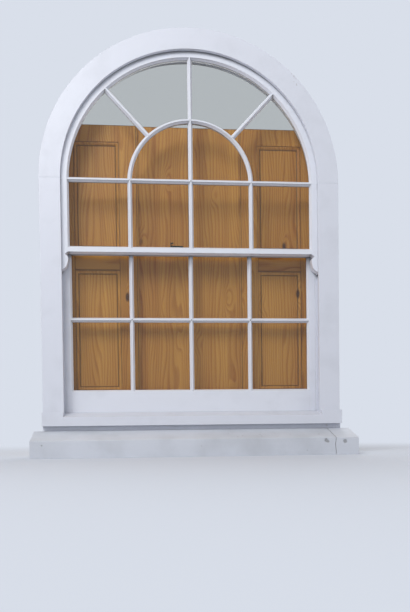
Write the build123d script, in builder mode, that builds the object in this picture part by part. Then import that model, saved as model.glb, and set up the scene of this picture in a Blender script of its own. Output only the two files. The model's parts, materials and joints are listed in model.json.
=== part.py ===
"""Round-headed double-hung sash window in a weighted box frame, with its sills and folding shutters.

Millimetres. X runs to the right seen from the street, Y into the house and Z up. The origin is on
the underside of the stone sill, on the centreline, in the plane of the upper sash's street face.
"""

import os
from math import atan2, cos, degrees, radians, sin, sqrt

from build123d import *

# Sashes
sight_radius = 600.0  # half the width of the upper glass, and the radius of the glazed arch
stile_width = 48.0
lower_stile_width = 51.0
sash_thickness = 45.0
rebate_width = 8.0
glass_seat = 17.0  # depth of the glazing rebate below the street face
glass_thickness = 3.0
pane_clearance = 1.5  # between a pane's edge and the wood of its rebate
putty_set_back = 1.5  # the putty stops this far behind the street face
bar_width = 22.5
bar_nose = 8.0  # width of a glazing bar at its room face
mould_square = 4.0  # flat on the sight line, under the moulding
mould_quirk = 1.5
mould_depth = 17.0
side_bar_place = 302.5  # middle of a side bar from the centreline, and radius of the inner arch
lower_side_bar_place = 300.5
radial_angle = 47.0  # degrees between a radial bar and the springing line
springing_bar_rise = 4.0  # middle of the springing bar above the arch's centre
upper_row_light = 313.0
upper_meeting_height = 30.0
lower_meeting_height = 29.0
meeting_step = 1.0  # the lower sash's meeting rail is this much lower
meeting_gap = 1.0  # between the two meeting rails, front to back
lower_first_light = 311.0
lower_second_light = 340.0
bottom_rail_height = 112.0
horn_length = 95.0
horn_hollow = (22.0, 12.0)  # inward end of the hollow: out from the sight line and down from the rail
horn_hollow_middle = (15.5, 5.0)
horn_nose = (9.5, 50.0)
horn_toe = (8.0, 88.0)  # in from the stile's outer edge and down from the rail
horn_tangents = ((-1.0, 0.4), (1.0, 0.35))  # of the horn's curve at its toe and at the hollow

# Box frame
sash_side_gap = 2.0
sash_face_gap = 2.0
parting_gap = 10.0  # between the two sashes
pulley_stile_thickness = 22.0
lining_thickness = 20.0
inner_lining_thickness = 18.0
outer_lining_lap = 12.0  # the outer lining covers this much of the gap and the sash
box_width = 90.0  # pulley stile's face to the back of the box
back_lining_thickness = 10.0
head_board_thickness = 25.0
parting_bead_width = 20.0
parting_bead_thickness = 8.0
parting_groove_depth = 6.0
staff_bead_width = 16.0
staff_bead_thickness = 16.0
staff_bead_round = 6.0
parting_slip_thickness = 6.0
parting_slip_width = 38.0
head_block_angles = (15, 40, 65, 90, 115, 140, 165)
head_block_size = (40.0, 30.0)
pocket_length = 300.0
pocket_rise = 70.0
pocket_margin = 4.0
pocket_bevel = 12.0
pocket_joint = 0.4

# Sills
sill_clearance = 0.3  # under the closed lower sash
timber_sill_thickness = 92.0
timber_nose_projection = 62.0
timber_nose_height = 44.0
timber_weathering = 24.0
timber_seat_front = -30.0
timber_drip_radius = 3.0
frame_back = 2.0  # the timber sill runs this far past the inner linings
stone_half_width = 780.0
stone_front = -194.0
stone_face_height = 82.0
stone_weathering = 45.0
stone_seat_front = -42.0
stone_arris = 4.0
stone_throat_radius = 6.0
stone_throat_inset = 24.0

# Pulleys, cords and weights
cord_radius = 3.0
cord_line_radius = 26.0  # from the pulley's axle to the middle of the cord
cord_clearance = 0.3
cord_stand_off = 5.0  # the cord hangs this far in front of the pulley stile
wheel_radius = 30.0
wheel_width = 10.0
wheel_side_gap = 0.8
axle_radius = 3.5
axle_clearance = 0.05
pulley_drop = 80.0  # axle below the springing line
faceplate_height = 120.0
faceplate_width = 26.0
faceplate_thickness = 3.0
cheek_thickness = 2.5
cheek_half_height = 31.0
cheek_reach = 12.0  # past the axle
mortise_clearance = 0.7
cord_groove_width = 13.0
cord_groove_depth = 12.0
knot_radius = 6.5
knot_clearance = 0.3
knot_pocket_height = 30.0
neck_width = 8.0  # narrow foot of the groove, above the knot
neck_length = 25.0
upper_knot_drop = 290.0
lower_knot_drop = 150.0
weight_radius = 23.0
upper_weight_length = 605.0
lower_weight_length = 612.0
upper_weight_floor = 12.0  # gap between the timber sill and the lowered weight
lower_weight_drop = 60.0  # top of the raised weight below the axle
weight_chamfer = 3.0
weight_hole_radius = 4.5
weight_hole_depth = 50.0
weight_pocket = (16.0, 18.0)
weight_knot_radius = 6.0

# Fastener and lifts
fastener_place = -94.0
fastener_plate = (56.0, 30.0)
plate_thickness = 3.0
fastener_pin_radius = 3.0
fastener_boss_radius = 9.0
fastener_boss_height = 16.0
lever_thickness = 6.0
lever_length = 52.0
lever_width = 10.0
lever_knob_radius = 5.0
lever_clearance = 0.3
keep_plate = (44.0, 13.0)
keep_edge_gap = 0.5  # between the keep and the room edge of its rail
keep_wall = 4.0
lift_place = 330.0
lift_plate = (58.0, 32.0)
lift_reach = 20.0
lift_width = 44.0
lift_height = 16.0

# Shutters
shutter_top_rise = 325.0  # above the springing line
shutter_foot_gap = 20.0
shutter_stand_off = 10.0  # street face of the leaves behind the inner linings
leaf_thickness = 28.0
flap_thickness = 20.0
leaf_inset = 12.0  # outer edge of a leaf inside the pulley stile's face
leaf_width = 370.0
shutter_joint = 2.0
shutter_meeting_gap = 3.0
post_width = 42.0
leaf_stile_width = 88.0
leaf_hanging_stile_width = 52.0
leaf_top_rail = 84.0
leaf_lock_rail = 104.0
leaf_bottom_rail = 96.0
lock_rail_drop = 408.0  # lower edge of the lock rail below the springing line
leaf_panel_recess = 11.0
leaf_panel_thickness = 10.0
panel_moulding_width = 18.0
panel_moulding_height = 8.0
board_bead = 2.0
butt_length = 75.0
butt_width = 24.0
butt_thickness = 2.0
butt_knuckle_radius = 3.0
butt_pin_radius = 1.5
butt_pin_clearance = 0.05
butt_knuckle_gap = 0.3
butt_heights = (0.12, 0.5, 0.88)

# Sizes and places that follow
mould_width = (bar_width - bar_nose) / 2
glass_face = glass_seat - glass_thickness
putty_depth = glass_face - putty_set_back
sash_half = sight_radius + stile_width
lower_sight_half = sash_half - lower_stile_width
lower_sash_y = sash_thickness + parting_gap
meeting_overhang = (parting_gap - meeting_gap) / 2
lower_sash_back = lower_sash_y + sash_thickness

frame_front = -sash_face_gap
inner_lining_y = lower_sash_back + sash_face_gap
pulley_face = sash_half + sash_side_gap
pulley_back = pulley_face + pulley_stile_thickness
box_back = pulley_face + box_width
outer_lining_edge = pulley_face - outer_lining_lap
frame_rear = inner_lining_y + inner_lining_thickness
parting_middle = sash_thickness + parting_gap / 2
parting_edge = pulley_face + parting_groove_depth - parting_bead_width
staff_edge = pulley_face - staff_bead_width

timber_bottom = stone_face_height + stone_weathering
timber_top = timber_bottom + timber_sill_thickness
lower_sash_bottom = timber_top + sill_clearance
bottom_rail_sight = lower_sash_bottom + bottom_rail_height
cross_bar_middle = bottom_rail_sight + lower_second_light + bar_width / 2
lower_meeting_sight = cross_bar_middle + bar_width / 2 + lower_first_light
lower_sash_top = lower_meeting_sight + lower_meeting_height
upper_meeting_sight = lower_sash_top + meeting_step
upper_sash_bottom = upper_meeting_sight - upper_meeting_height
springing_bar_middle = upper_meeting_sight + upper_row_light + bar_width / 2
springing = springing_bar_middle - springing_bar_rise
meeting_half_width = parting_edge - sash_side_gap

pulley_z = springing - pulley_drop
cord_sash_x = pulley_face - cord_stand_off
axle_x = cord_sash_x + cord_line_radius
weight_x = axle_x + cord_line_radius
upper_cord_y = sash_thickness / 2
lower_cord_y = lower_sash_y + sash_thickness / 2
upper_knot_z = springing - upper_knot_drop
lower_knot_z = lower_sash_top - lower_knot_drop
upper_weight_top = timber_top + upper_weight_floor + upper_weight_length
lower_weight_top = pulley_z - lower_weight_drop
knot_seat = sqrt(knot_radius**2 - (neck_width / 2) ** 2) + knot_clearance
weight_knot_seat = sqrt(weight_knot_radius**2 - weight_hole_radius**2) + knot_clearance

shutter_y = frame_rear + shutter_stand_off
shutter_back = shutter_y + leaf_thickness
shutter_bottom = timber_top + shutter_foot_gap
shutter_top = springing + shutter_top_rise
shutter_height = shutter_top - shutter_bottom
leaf_outer_edge = pulley_face - leaf_inset
leaf_inner_edge = leaf_outer_edge - leaf_width
butt_axis_y = shutter_back + butt_knuckle_radius
leaf_axis_x = leaf_outer_edge + shutter_joint / 2
flap_axis_x = leaf_inner_edge - shutter_joint / 2
panel_edges = (leaf_inner_edge + leaf_stile_width, leaf_outer_edge - leaf_hanging_stile_width)
upper_panel_span = (springing - lock_rail_drop + leaf_lock_rail, shutter_top - leaf_top_rail)
lower_panel_span = (shutter_bottom + leaf_bottom_rail, springing - lock_rail_drop)

arch_axis = Axis((0, 0, springing), (0, -1, 0))
right, left = 1, -1


def front_plane(y):
    """A plane seen from the street, with its x across, its y up and its normal towards the street."""
    return Plane.XZ.offset(-y)


def group(*pieces):
    """Several pieces that share a name but stay separate solids."""
    return Compound(children=[solid for piece in pieces for solid in piece.solids()])


def both_sides(*pieces):
    """The pieces of the right-hand side and their mirror images on the left, as separate solids."""
    return group(*pieces, *[mirror(piece, about=Plane.YZ) for piece in pieces])


def side_copy(solid, side):
    """The right-hand solid itself, or its mirror image on the left."""
    return solid if side == right else mirror(solid, about=Plane.YZ)


def moulded_edge(width, place):
    """Section of sash timber from its sight line to its back edge.

    place turns a distance from the sight line and a depth below the street face into a point.
    """
    mould_start = glass_seat + mould_square
    with BuildSketch() as section:
        with BuildLine():
            Polyline(
                place(mould_width, mould_start + mould_depth),
                place(mould_width, sash_thickness),
                place(width, sash_thickness),
                place(width, 0),
                place(rebate_width, 0),
                place(rebate_width, glass_seat),
                place(0, glass_seat),
                place(0, mould_start),
                place(mould_quirk, mould_start),
            )
            along = Vector(*place(0, 1)) - Vector(*place(0, 0))
            TangentArc(
                place(mould_quirk, mould_start),
                place(mould_width, mould_start + mould_depth),
                tangent=along,
            )
        make_face()
    return section.sketch


def bar_section():
    """Section of a glazing bar, with x across it and y its depth below the street face."""
    with BuildSketch() as section:
        add(moulded_edge(bar_width / 2, lambda u, y: (bar_width / 2 - u, y)))
        mirror(about=Plane.YZ)
    return section.sketch


def upright_bar(x, low, high, y):
    """A vertical glazing bar of the sash whose street face is at y."""
    with BuildPart() as bar:
        with BuildSketch(Plane((x, y, low))):
            add(bar_section())
        extrude(amount=high - low)
    return bar.part


def level_bar(z, half_length, y):
    """A horizontal glazing bar, from side to side."""
    with BuildPart() as bar:
        with BuildSketch(Plane((-half_length, y, z), x_dir=(0, 0, -1), z_dir=(1, 0, 0))):
            add(bar_section())
        extrude(amount=2 * half_length)
    return bar.part


def radial_bar(angle, start, end):
    """A bar that leaves the inner arch at an angle above the springing line."""
    direction = Vector(cos(radians(angle)), 0, sin(radians(angle)))
    origin = Vector(0, 0, springing) + direction * start
    with BuildPart() as bar:
        with BuildSketch(Plane(origin, x_dir=Vector(0, 1, 0).cross(direction), z_dir=direction)):
            add(bar_section())
        extrude(amount=end - start)
    return bar.part


def arched_bar(radius):
    """A glazing bar bent round the arch's centre."""
    with BuildPart() as bar:
        with BuildSketch(Plane((radius, 0, springing))):
            add(bar_section())
        revolve(axis=arch_axis, revolution_arc=180)
    return bar.part


def rail(sight, height, upward, half_length, y):
    """A rail with its moulded edge at height sight and its wood upward (1) or downward (-1) of it."""
    with BuildPart() as body:
        with BuildSketch(Plane((-half_length, y, sight), x_dir=(0, 1, 0), z_dir=(1, 0, 0))):
            add(moulded_edge(height, lambda u, depth: (depth, upward * u)))
        extrude(amount=2 * half_length)
    return body.part


def edge_slot(y, width, depth, low, high):
    """A slot in the outer edge of a right-hand stile."""
    with BuildPart() as slot:
        with Locations((sash_half - depth, y, low)):
            Box(
                depth + sash_side_gap,
                width,
                high - low,
                align=(Align.MIN, Align.CENTER, Align.MIN),
            )
    return slot.part


def cord_housing(y, knot_z, high):
    """Groove for the cord, the narrow neck at its foot and the pocket that holds the knot."""
    pocket_top = knot_z + knot_seat
    knot_room = 2 * knot_radius + knot_clearance
    return [
        edge_slot(y, cord_groove_width, cord_groove_depth, pocket_top + neck_length, high),
        edge_slot(y, neck_width, cord_groove_depth, pocket_top, pocket_top + neck_length),
        edge_slot(
            y, knot_room + knot_clearance, knot_room, pocket_top - knot_pocket_height, pocket_top
        ),
    ]


def panes_of(lights, y):
    """One pane of glass for each light, bedded in its rebate."""
    with BuildPart() as panes:
        for light in lights.faces():
            with BuildSketch(front_plane(y + glass_seat)):
                add(light)
                offset(amount=rebate_width - pane_clearance, kind=Kind.INTERSECTION)
            extrude(amount=glass_thickness)
    return panes.part


def putty_of(lights, y):
    """The putty round each light: it fills the rebate and slopes to the sight line at the glass."""
    slope = degrees(atan2(rebate_width, putty_depth))
    with BuildPart() as putty:
        for light in lights.faces():
            with BuildPart(mode=Mode.PRIVATE) as ring:
                with BuildSketch(front_plane(y + glass_face)):
                    add(light)
                    offset(amount=rebate_width, kind=Kind.INTERSECTION)
                extrude(amount=putty_depth)
                with BuildSketch(front_plane(y + glass_face)):
                    add(light)
                extrude(amount=putty_depth, taper=-slope, mode=Mode.SUBTRACT)
            add(ring.part)
    return putty.part


def save(solid, label):
    """Writes one finished piece under its own name."""
    solid.label = label
    export_step(solid, f"parts/{label}.step")


os.makedirs("parts", exist_ok=True)

# Stone sill
with BuildPart() as stone_sill:
    with BuildSketch(Plane.YZ.offset(-stone_half_width)):
        with BuildLine():
            Polyline(
                (stone_front, 0),
                (stone_front, stone_face_height),
                (stone_seat_front, timber_bottom),
                (frame_rear + frame_back, timber_bottom),
                (frame_rear + frame_back, 0),
                close=True,
            )
        make_face()
        with Locations((stone_front + stone_throat_inset, 0)):
            Circle(stone_throat_radius, mode=Mode.SUBTRACT)
    extrude(amount=2 * stone_half_width)
    front_edges = stone_sill.edges().filter_by(Axis.X).group_by(Axis.Y)[0]
    fillet(front_edges.sort_by(Axis.Z)[-1], stone_arris)
save(stone_sill.part, "stone_sill")

# Timber sill: its top is weathered between the linings and left level under the box frame
with BuildPart() as timber_sill:
    with BuildSketch(Plane.YZ.offset(-box_back)):
        with BuildLine():
            Polyline(
                (-timber_nose_projection, timber_top),
                (frame_rear + frame_back, timber_top),
                (frame_rear + frame_back, timber_bottom),
                (timber_seat_front, timber_bottom),
                (timber_seat_front, timber_top - timber_weathering - timber_nose_height),
                (-timber_nose_projection, timber_top - timber_weathering - timber_nose_height),
                close=True,
            )
        make_face()
        with Locations(
            (
                (timber_seat_front - timber_nose_projection) / 2,
                timber_top - timber_weathering - timber_nose_height,
            )
        ):
            Circle(timber_drip_radius, mode=Mode.SUBTRACT)
    extrude(amount=2 * box_back)
    with BuildSketch(Plane.YZ.offset(-outer_lining_edge)):
        with BuildLine():
            Polyline(
                (-timber_nose_projection - sill_clearance, timber_top + sill_clearance),
                (-timber_nose_projection - sill_clearance, timber_top - timber_weathering),
                (-timber_nose_projection, timber_top - timber_weathering),
                (parting_middle, timber_top),
                (parting_middle, timber_top + sill_clearance),
                close=True,
            )
        make_face()
    extrude(amount=2 * outer_lining_edge, mode=Mode.SUBTRACT)
save(timber_sill.part, "timber_sill")

# Pulley stiles, with the pulley cases let into them: faceplate, two cheeks and the axle pin
cheek_inner = wheel_width / 2 + wheel_side_gap
cheek_outer = cheek_inner + cheek_thickness


def pulley_case(y):
    """The fixed part of a right-hand pulley whose cord hangs at y."""
    with BuildPart() as case:
        with BuildSketch(Plane((pulley_face, y, pulley_z), x_dir=(0, 1, 0), z_dir=(1, 0, 0))):
            SlotOverall(faceplate_height, faceplate_width, rotation=90)
            Rectangle(2 * cheek_inner, 2 * (wheel_radius - faceplate_thickness), mode=Mode.SUBTRACT)
        extrude(amount=faceplate_thickness)
        with Locations((pulley_face + faceplate_thickness, y, pulley_z)):
            for side in (right, left):
                with Locations((0, side * (cheek_inner + cheek_thickness / 2), 0)):
                    Box(
                        axle_x + cheek_reach - pulley_face - faceplate_thickness,
                        cheek_thickness,
                        2 * cheek_half_height,
                        align=(Align.MIN, Align.CENTER, Align.CENTER),
                    )
        with BuildSketch(front_plane(y + cheek_outer)):
            with Locations((axle_x, pulley_z)):
                Circle(axle_radius)
        extrude(amount=2 * cheek_outer)
    return case.part


def pulley_mortise(y):
    """The hole in a right-hand pulley stile for one pulley case, with the sinking for its plate."""
    with BuildPart() as mortise:
        with BuildSketch(Plane((pulley_face, y, pulley_z), x_dir=(0, 1, 0), z_dir=(1, 0, 0))):
            SlotOverall(faceplate_height, faceplate_width, rotation=90)
        extrude(amount=faceplate_thickness)
        with Locations((pulley_face, y, pulley_z)):
            Box(
                pulley_stile_thickness,
                2 * (cheek_outer + mortise_clearance),
                2 * (cheek_half_height + mortise_clearance),
                align=(Align.MIN, Align.CENTER, Align.CENTER),
            )
    return mortise.part


def pocket_block(joint):
    """The part of a right-hand pulley stile that lifts out, smaller all round by its joint."""
    low = timber_top + pocket_rise + joint
    high = low + pocket_length - 2 * joint
    near = parting_middle + parting_bead_thickness / 2 + pocket_margin + joint
    far = inner_lining_y - pocket_margin - joint
    with BuildPart() as block:
        with BuildSketch(front_plane(far)):
            Polygon(
                (pulley_face, low),
                (pulley_back, low + pocket_bevel),
                (pulley_back, high + pocket_bevel),
                (pulley_face, high),
                align=None,
            )
        extrude(amount=far - near)
    return block.part


with BuildPart() as pulley_stile:
    with Locations((pulley_face, frame_front, timber_top)):
        Box(
            pulley_stile_thickness,
            inner_lining_y - frame_front,
            springing - timber_top,
            align=(Align.MIN, Align.MIN, Align.MIN),
        )
    with Locations((pulley_face, parting_middle, timber_top)):
        Box(
            parting_groove_depth,
            parting_bead_thickness,
            springing - timber_top,
            align=(Align.MIN, Align.CENTER, Align.MIN),
            mode=Mode.SUBTRACT,
        )
    add(pulley_mortise(upper_cord_y), mode=Mode.SUBTRACT)
    add(pulley_mortise(lower_cord_y), mode=Mode.SUBTRACT)
    add(pocket_block(0), mode=Mode.SUBTRACT)
save(side_copy(pulley_stile.part, left), "pulley_stile_left")
save(pulley_stile.part, "pulley_stile_right")

save(both_sides(pocket_block(pocket_joint)), "pocket_pieces")
save(both_sides(pulley_case(upper_cord_y), pulley_case(lower_cord_y)), "pulley_cases")


def upright_board(near_x, far_x, near_y, far_y, low, high):
    """A plain upright board on the right."""
    with BuildPart() as board:
        with Locations((near_x, near_y, low)):
            Box(far_x - near_x, far_y - near_y, high - low, align=(Align.MIN,) * 3)
    return board.part


def half_ring(inner, outer, near_y, far_y):
    """A flat arch round the springing centre."""
    with BuildPart() as ring:
        with BuildSketch(Plane.XY.offset(springing)):
            with Locations((inner, near_y)):
                Rectangle(outer - inner, far_y - near_y, align=(Align.MIN, Align.MIN))
        revolve(axis=arch_axis, revolution_arc=180)
    return ring.part


# Linings and back of the box
outer_lining = upright_board(
    outer_lining_edge, box_back, frame_front - lining_thickness, frame_front, timber_top, springing
)
inner_lining = upright_board(
    pulley_face, box_back, inner_lining_y, frame_rear, timber_top, springing
)
for side, name in ((left, "left"), (right, "right")):
    save(side_copy(outer_lining, side), f"outer_lining_{name}")
    save(side_copy(inner_lining, side), f"inner_lining_{name}")
save(
    half_ring(outer_lining_edge, box_back, frame_front - lining_thickness, frame_front),
    "outer_arch_lining",
)
save(half_ring(pulley_face, box_back, inner_lining_y, frame_rear), "inner_arch_lining")

box_inside = box_back - back_lining_thickness
back_lining = upright_board(
    box_inside, box_back, frame_front, inner_lining_y, timber_top, springing
)
save(both_sides(back_lining), "back_linings")

parting_slip = upright_board(
    box_inside - parting_slip_width,
    box_inside,
    parting_middle - parting_slip_thickness / 2,
    parting_middle + parting_slip_thickness / 2,
    timber_top,
    pulley_z - faceplate_height / 2,
)
save(both_sides(parting_slip), "parting_slips")

# Arched head of the frame, with the parting bead's groove and glue blocks behind it
with BuildPart() as head_board:
    with BuildSketch(Plane.XY.offset(springing)):
        with Locations((pulley_face, frame_front)):
            Rectangle(
                head_board_thickness, inner_lining_y - frame_front, align=(Align.MIN, Align.MIN)
            )
        with Locations((pulley_face, parting_middle)):
            Rectangle(
                parting_groove_depth,
                parting_bead_thickness,
                align=(Align.MIN, Align.CENTER),
                mode=Mode.SUBTRACT,
            )
    revolve(axis=arch_axis, revolution_arc=180)
save(head_board.part, "head_board")

head_back = pulley_face + head_board_thickness
with BuildPart() as head_block_ring:
    with BuildSketch(Plane.XY.offset(springing)):
        for lining_y, edge in ((frame_front, Align.MIN), (inner_lining_y, Align.MAX)):
            with Locations((head_back, lining_y)):
                Rectangle(*head_block_size, align=(Align.MIN, edge))
    revolve(axis=arch_axis, revolution_arc=180)
with BuildPart() as head_blocks:
    with Locations((0, (frame_front + inner_lining_y) / 2, springing)):
        for block_angle in head_block_angles:
            with Locations(Rotation(0, -block_angle, 0)):
                Box(
                    box_back,
                    inner_lining_y - frame_front,
                    head_block_size[0],
                    align=(Align.MIN, Align.CENTER, Align.CENTER),
                )
    add(head_block_ring.part, mode=Mode.INTERSECT)
save(head_blocks.part, "head_blocks")

# Beads
bead_near = parting_middle - parting_bead_thickness / 2
bead_far = parting_middle + parting_bead_thickness / 2
bead_back = pulley_face + parting_groove_depth
parting_bead = upright_board(parting_edge, bead_back, bead_near, bead_far, timber_top, springing)
arched_parting_bead = half_ring(parting_edge, bead_back, bead_near, bead_far)
save(group(both_sides(parting_bead), arched_parting_bead), "parting_beads")


def staff_section():
    """Section of the staff bead, its rounded arris towards the room and the opening."""
    with BuildSketch() as section:
        Rectangle(staff_bead_width, staff_bead_thickness, align=(Align.MIN, Align.MIN))
        round_corner = section.vertices().sort_by(Axis.Y)[-2:].sort_by(Axis.X)[0]
        fillet(round_corner, staff_bead_round)
    return section.sketch


with BuildPart() as upright_staff_bead:
    with BuildSketch(Plane((staff_edge, inner_lining_y, timber_top))):
        add(staff_section())
    extrude(amount=springing - timber_top)
with BuildPart() as arched_staff_bead:
    with BuildSketch(Plane((staff_edge, inner_lining_y, springing))):
        add(staff_section())
    revolve(axis=arch_axis, revolution_arc=180)
with BuildPart() as sill_staff_bead:
    with Locations((0, inner_lining_y, timber_top)):
        Box(
            2 * staff_edge,
            staff_bead_thickness,
            staff_bead_width,
            align=(Align.CENTER, Align.MIN, Align.MIN),
        )
save(
    group(both_sides(upright_staff_bead.part), arched_staff_bead.part, sill_staff_bead.part),
    "staff_beads",
)


def pulley_wheel(y):
    """A grooved cast wheel on the right: rim, web and hub turned about the axle."""
    groove_half = cord_radius + cord_clearance
    with BuildPart() as wheel:
        with BuildSketch(Plane.XY.offset(pulley_z)):
            with Locations((axle_x + axle_radius + axle_clearance, y)):
                Rectangle(
                    wheel_radius - axle_radius - axle_clearance,
                    wheel_width,
                    align=(Align.MIN, Align.CENTER),
                )
            with Locations((axle_x + cord_line_radius, y)):
                Circle(groove_half, mode=Mode.SUBTRACT)
                Rectangle(
                    wheel_radius - cord_line_radius,
                    2 * groove_half,
                    align=(Align.MIN, Align.CENTER),
                    mode=Mode.SUBTRACT,
                )
        revolve(axis=Axis((axle_x, y, pulley_z), (0, 1, 0)), revolution_arc=360)
    return wheel.part


for sash, cord_y in (("upper", upper_cord_y), ("lower", lower_cord_y)):
    for side, name in ((left, "left"), (right, "right")):
        save(side_copy(pulley_wheel(cord_y), side), f"pulley_wheel_{sash}_{name}")


def sash_cord(y, knot_z, weight_top):
    """A cord on the right: knot in the sash, up, over the pulley and down to the weight's knot."""
    weight_knot_z = weight_top - weight_hole_depth - weight_knot_seat
    with BuildPart() as cord:
        with BuildLine():
            Line((cord_sash_x, y, knot_z), (cord_sash_x, y, pulley_z))
            ThreePointArc(
                (cord_sash_x, y, pulley_z),
                (axle_x, y, pulley_z + cord_line_radius),
                (weight_x, y, pulley_z),
            )
            Line((weight_x, y, pulley_z), (weight_x, y, weight_knot_z))
        with BuildSketch(Plane((cord_sash_x, y, knot_z))):
            Circle(cord_radius)
        sweep()
        with Locations((sash_half - knot_radius, y, knot_z)):
            Sphere(knot_radius)
        with Locations((weight_x, y, weight_knot_z)):
            Sphere(weight_knot_radius)
    return cord.part


def sash_weight(y, top, length):
    """A cast weight on the right, with the cord's hole in its top and the knot's pocket through it."""
    with BuildPart() as weight:
        with BuildSketch(Plane.XY.offset(top)):
            with Locations((weight_x, y)):
                Circle(weight_radius)
        extrude(amount=-length)
        chamfer(weight.edges().filter_by(GeomType.CIRCLE), weight_chamfer)
        with BuildSketch(Plane.XY.offset(top)):
            with Locations((weight_x, y)):
                Circle(weight_hole_radius)
        extrude(amount=-weight_hole_depth, mode=Mode.SUBTRACT)
        with Locations((weight_x, y, top - weight_hole_depth)):
            Box(
                weight_pocket[0],
                2 * weight_radius,
                weight_pocket[1],
                align=(Align.CENTER, Align.CENTER, Align.MAX),
                mode=Mode.SUBTRACT,
            )
    return weight.part


for sash, cord_y, knot_z, weight_top, weight_length in (
    ("upper", upper_cord_y, upper_knot_z, upper_weight_top, upper_weight_length),
    ("lower", lower_cord_y, lower_knot_z, lower_weight_top, lower_weight_length),
):
    save(both_sides(sash_cord(cord_y, knot_z, weight_top)), f"{sash}_sash_cords")
    save(both_sides(sash_weight(cord_y, weight_top, weight_length)), f"{sash}_sash_weights")

# Upper sash: stiles with horns, arched head and meeting rail
horn_bottom = upper_sash_bottom - horn_length
with BuildPart() as upper_stile:
    with BuildSketch(Plane.XY.offset(upper_sash_bottom)):
        add(moulded_edge(stile_width, lambda u, y: (sight_radius + u, y)))
    extrude(amount=springing - upper_sash_bottom)
    with BuildSketch(front_plane(sash_thickness)):
        with BuildLine():
            hollow, hollow_middle, nose = [
                (sight_radius + across, upper_sash_bottom - down)
                for across, down in (horn_hollow, horn_hollow_middle, horn_nose)
            ]
            toe = (sash_half - horn_toe[0], upper_sash_bottom - horn_toe[1])
            Line((sight_radius + rebate_width, upper_sash_bottom), (sash_half, upper_sash_bottom))
            Line((sash_half, upper_sash_bottom), (sash_half, horn_bottom))
            Line((sash_half, horn_bottom), (toe[0], horn_bottom))
            Line((toe[0], horn_bottom), toe)
            Spline(toe, nose, hollow, tangents=horn_tangents)
            ThreePointArc(
                hollow, hollow_middle, (sight_radius + rebate_width, upper_sash_bottom)
            )
        make_face()
    extrude(amount=sash_thickness)
    add(cord_housing(upper_cord_y, upper_knot_z, springing), mode=Mode.SUBTRACT)
save(side_copy(upper_stile.part, left), "upper_stile_left")
save(upper_stile.part, "upper_stile_right")

with BuildPart() as upper_head:
    with BuildSketch(Plane.XY.offset(springing)):
        add(moulded_edge(stile_width, lambda u, y: (sight_radius + u, y)))
    revolve(axis=arch_axis, revolution_arc=180)
    groove_top = springing + sqrt(sash_half**2 - (sash_half - cord_groove_depth) ** 2)
    head_groove = edge_slot(
        upper_cord_y,
        cord_groove_width,
        cord_groove_depth,
        springing,
        groove_top + cord_groove_depth,
    )
    add(head_groove, mode=Mode.SUBTRACT)
    add(side_copy(head_groove, left), mode=Mode.SUBTRACT)
save(upper_head.part, "upper_sash_head")

upper_stiles = [upper_stile.part, side_copy(upper_stile.part, left)]
rail_half_length = sight_radius + rebate_width
with BuildPart() as upper_meeting_rail:
    with Locations((0, 0, upper_sash_bottom)):
        Box(
            2 * rail_half_length,
            sash_thickness,
            upper_meeting_height,
            align=(Align.CENTER, Align.MIN, Align.MIN),
        )
    with Locations((0, 0, upper_meeting_sight)):
        Box(
            2 * rail_half_length,
            glass_seat,
            rebate_width,
            align=(Align.CENTER, Align.MIN, Align.MAX),
            mode=Mode.SUBTRACT,
        )
    add(upper_stiles, mode=Mode.SUBTRACT)
    with Locations((0, sash_thickness, upper_sash_bottom)):
        Box(
            2 * meeting_half_width,
            meeting_overhang,
            upper_meeting_height,
            align=(Align.CENTER, Align.MIN, Align.MIN),
        )
save(upper_meeting_rail.part, "upper_meeting_rail")

# Upper glazing bars: the uprights run through, and what meets them is scribed over their moulding
bar_overlap = rebate_width
upper_bar_foot = upper_meeting_sight - bar_overlap
centre_bar = upright_bar(0, upper_bar_foot, springing + sight_radius + bar_overlap, 0)
side_bars = [upright_bar(s * side_bar_place, upper_bar_foot, springing, 0) for s in (left, right)]
inner_arch = arched_bar(side_bar_place)
springing_bar = level_bar(springing_bar_middle, rail_half_length, 0)
radial_bars = [
    radial_bar(a, side_bar_place, sight_radius + bar_overlap)
    for a in (radial_angle, 180 - radial_angle)
]
with BuildPart() as trimmed_centre_bar:
    add(centre_bar)
    add(upper_head.part, mode=Mode.SUBTRACT)
    add(upper_meeting_rail.part, mode=Mode.SUBTRACT)
with BuildPart() as trimmed_side_bars:
    add(side_bars)
    add(upper_meeting_rail.part, mode=Mode.SUBTRACT)
with BuildPart() as trimmed_arch:
    add(inner_arch)
    add(centre_bar, mode=Mode.SUBTRACT)
with BuildPart() as trimmed_springing_bar:
    add(springing_bar)
    add([centre_bar, inner_arch, upper_head.part], mode=Mode.SUBTRACT)
    add(side_bars + upper_stiles, mode=Mode.SUBTRACT)
with BuildPart() as trimmed_radial_bars:
    add(radial_bars)
    add([inner_arch, upper_head.part], mode=Mode.SUBTRACT)
upper_bars = group(
    trimmed_centre_bar.part,
    trimmed_side_bars.part,
    trimmed_arch.part,
    trimmed_springing_bar.part,
    trimmed_radial_bars.part,
)
save(upper_bars, "upper_glazing_bars")

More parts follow.
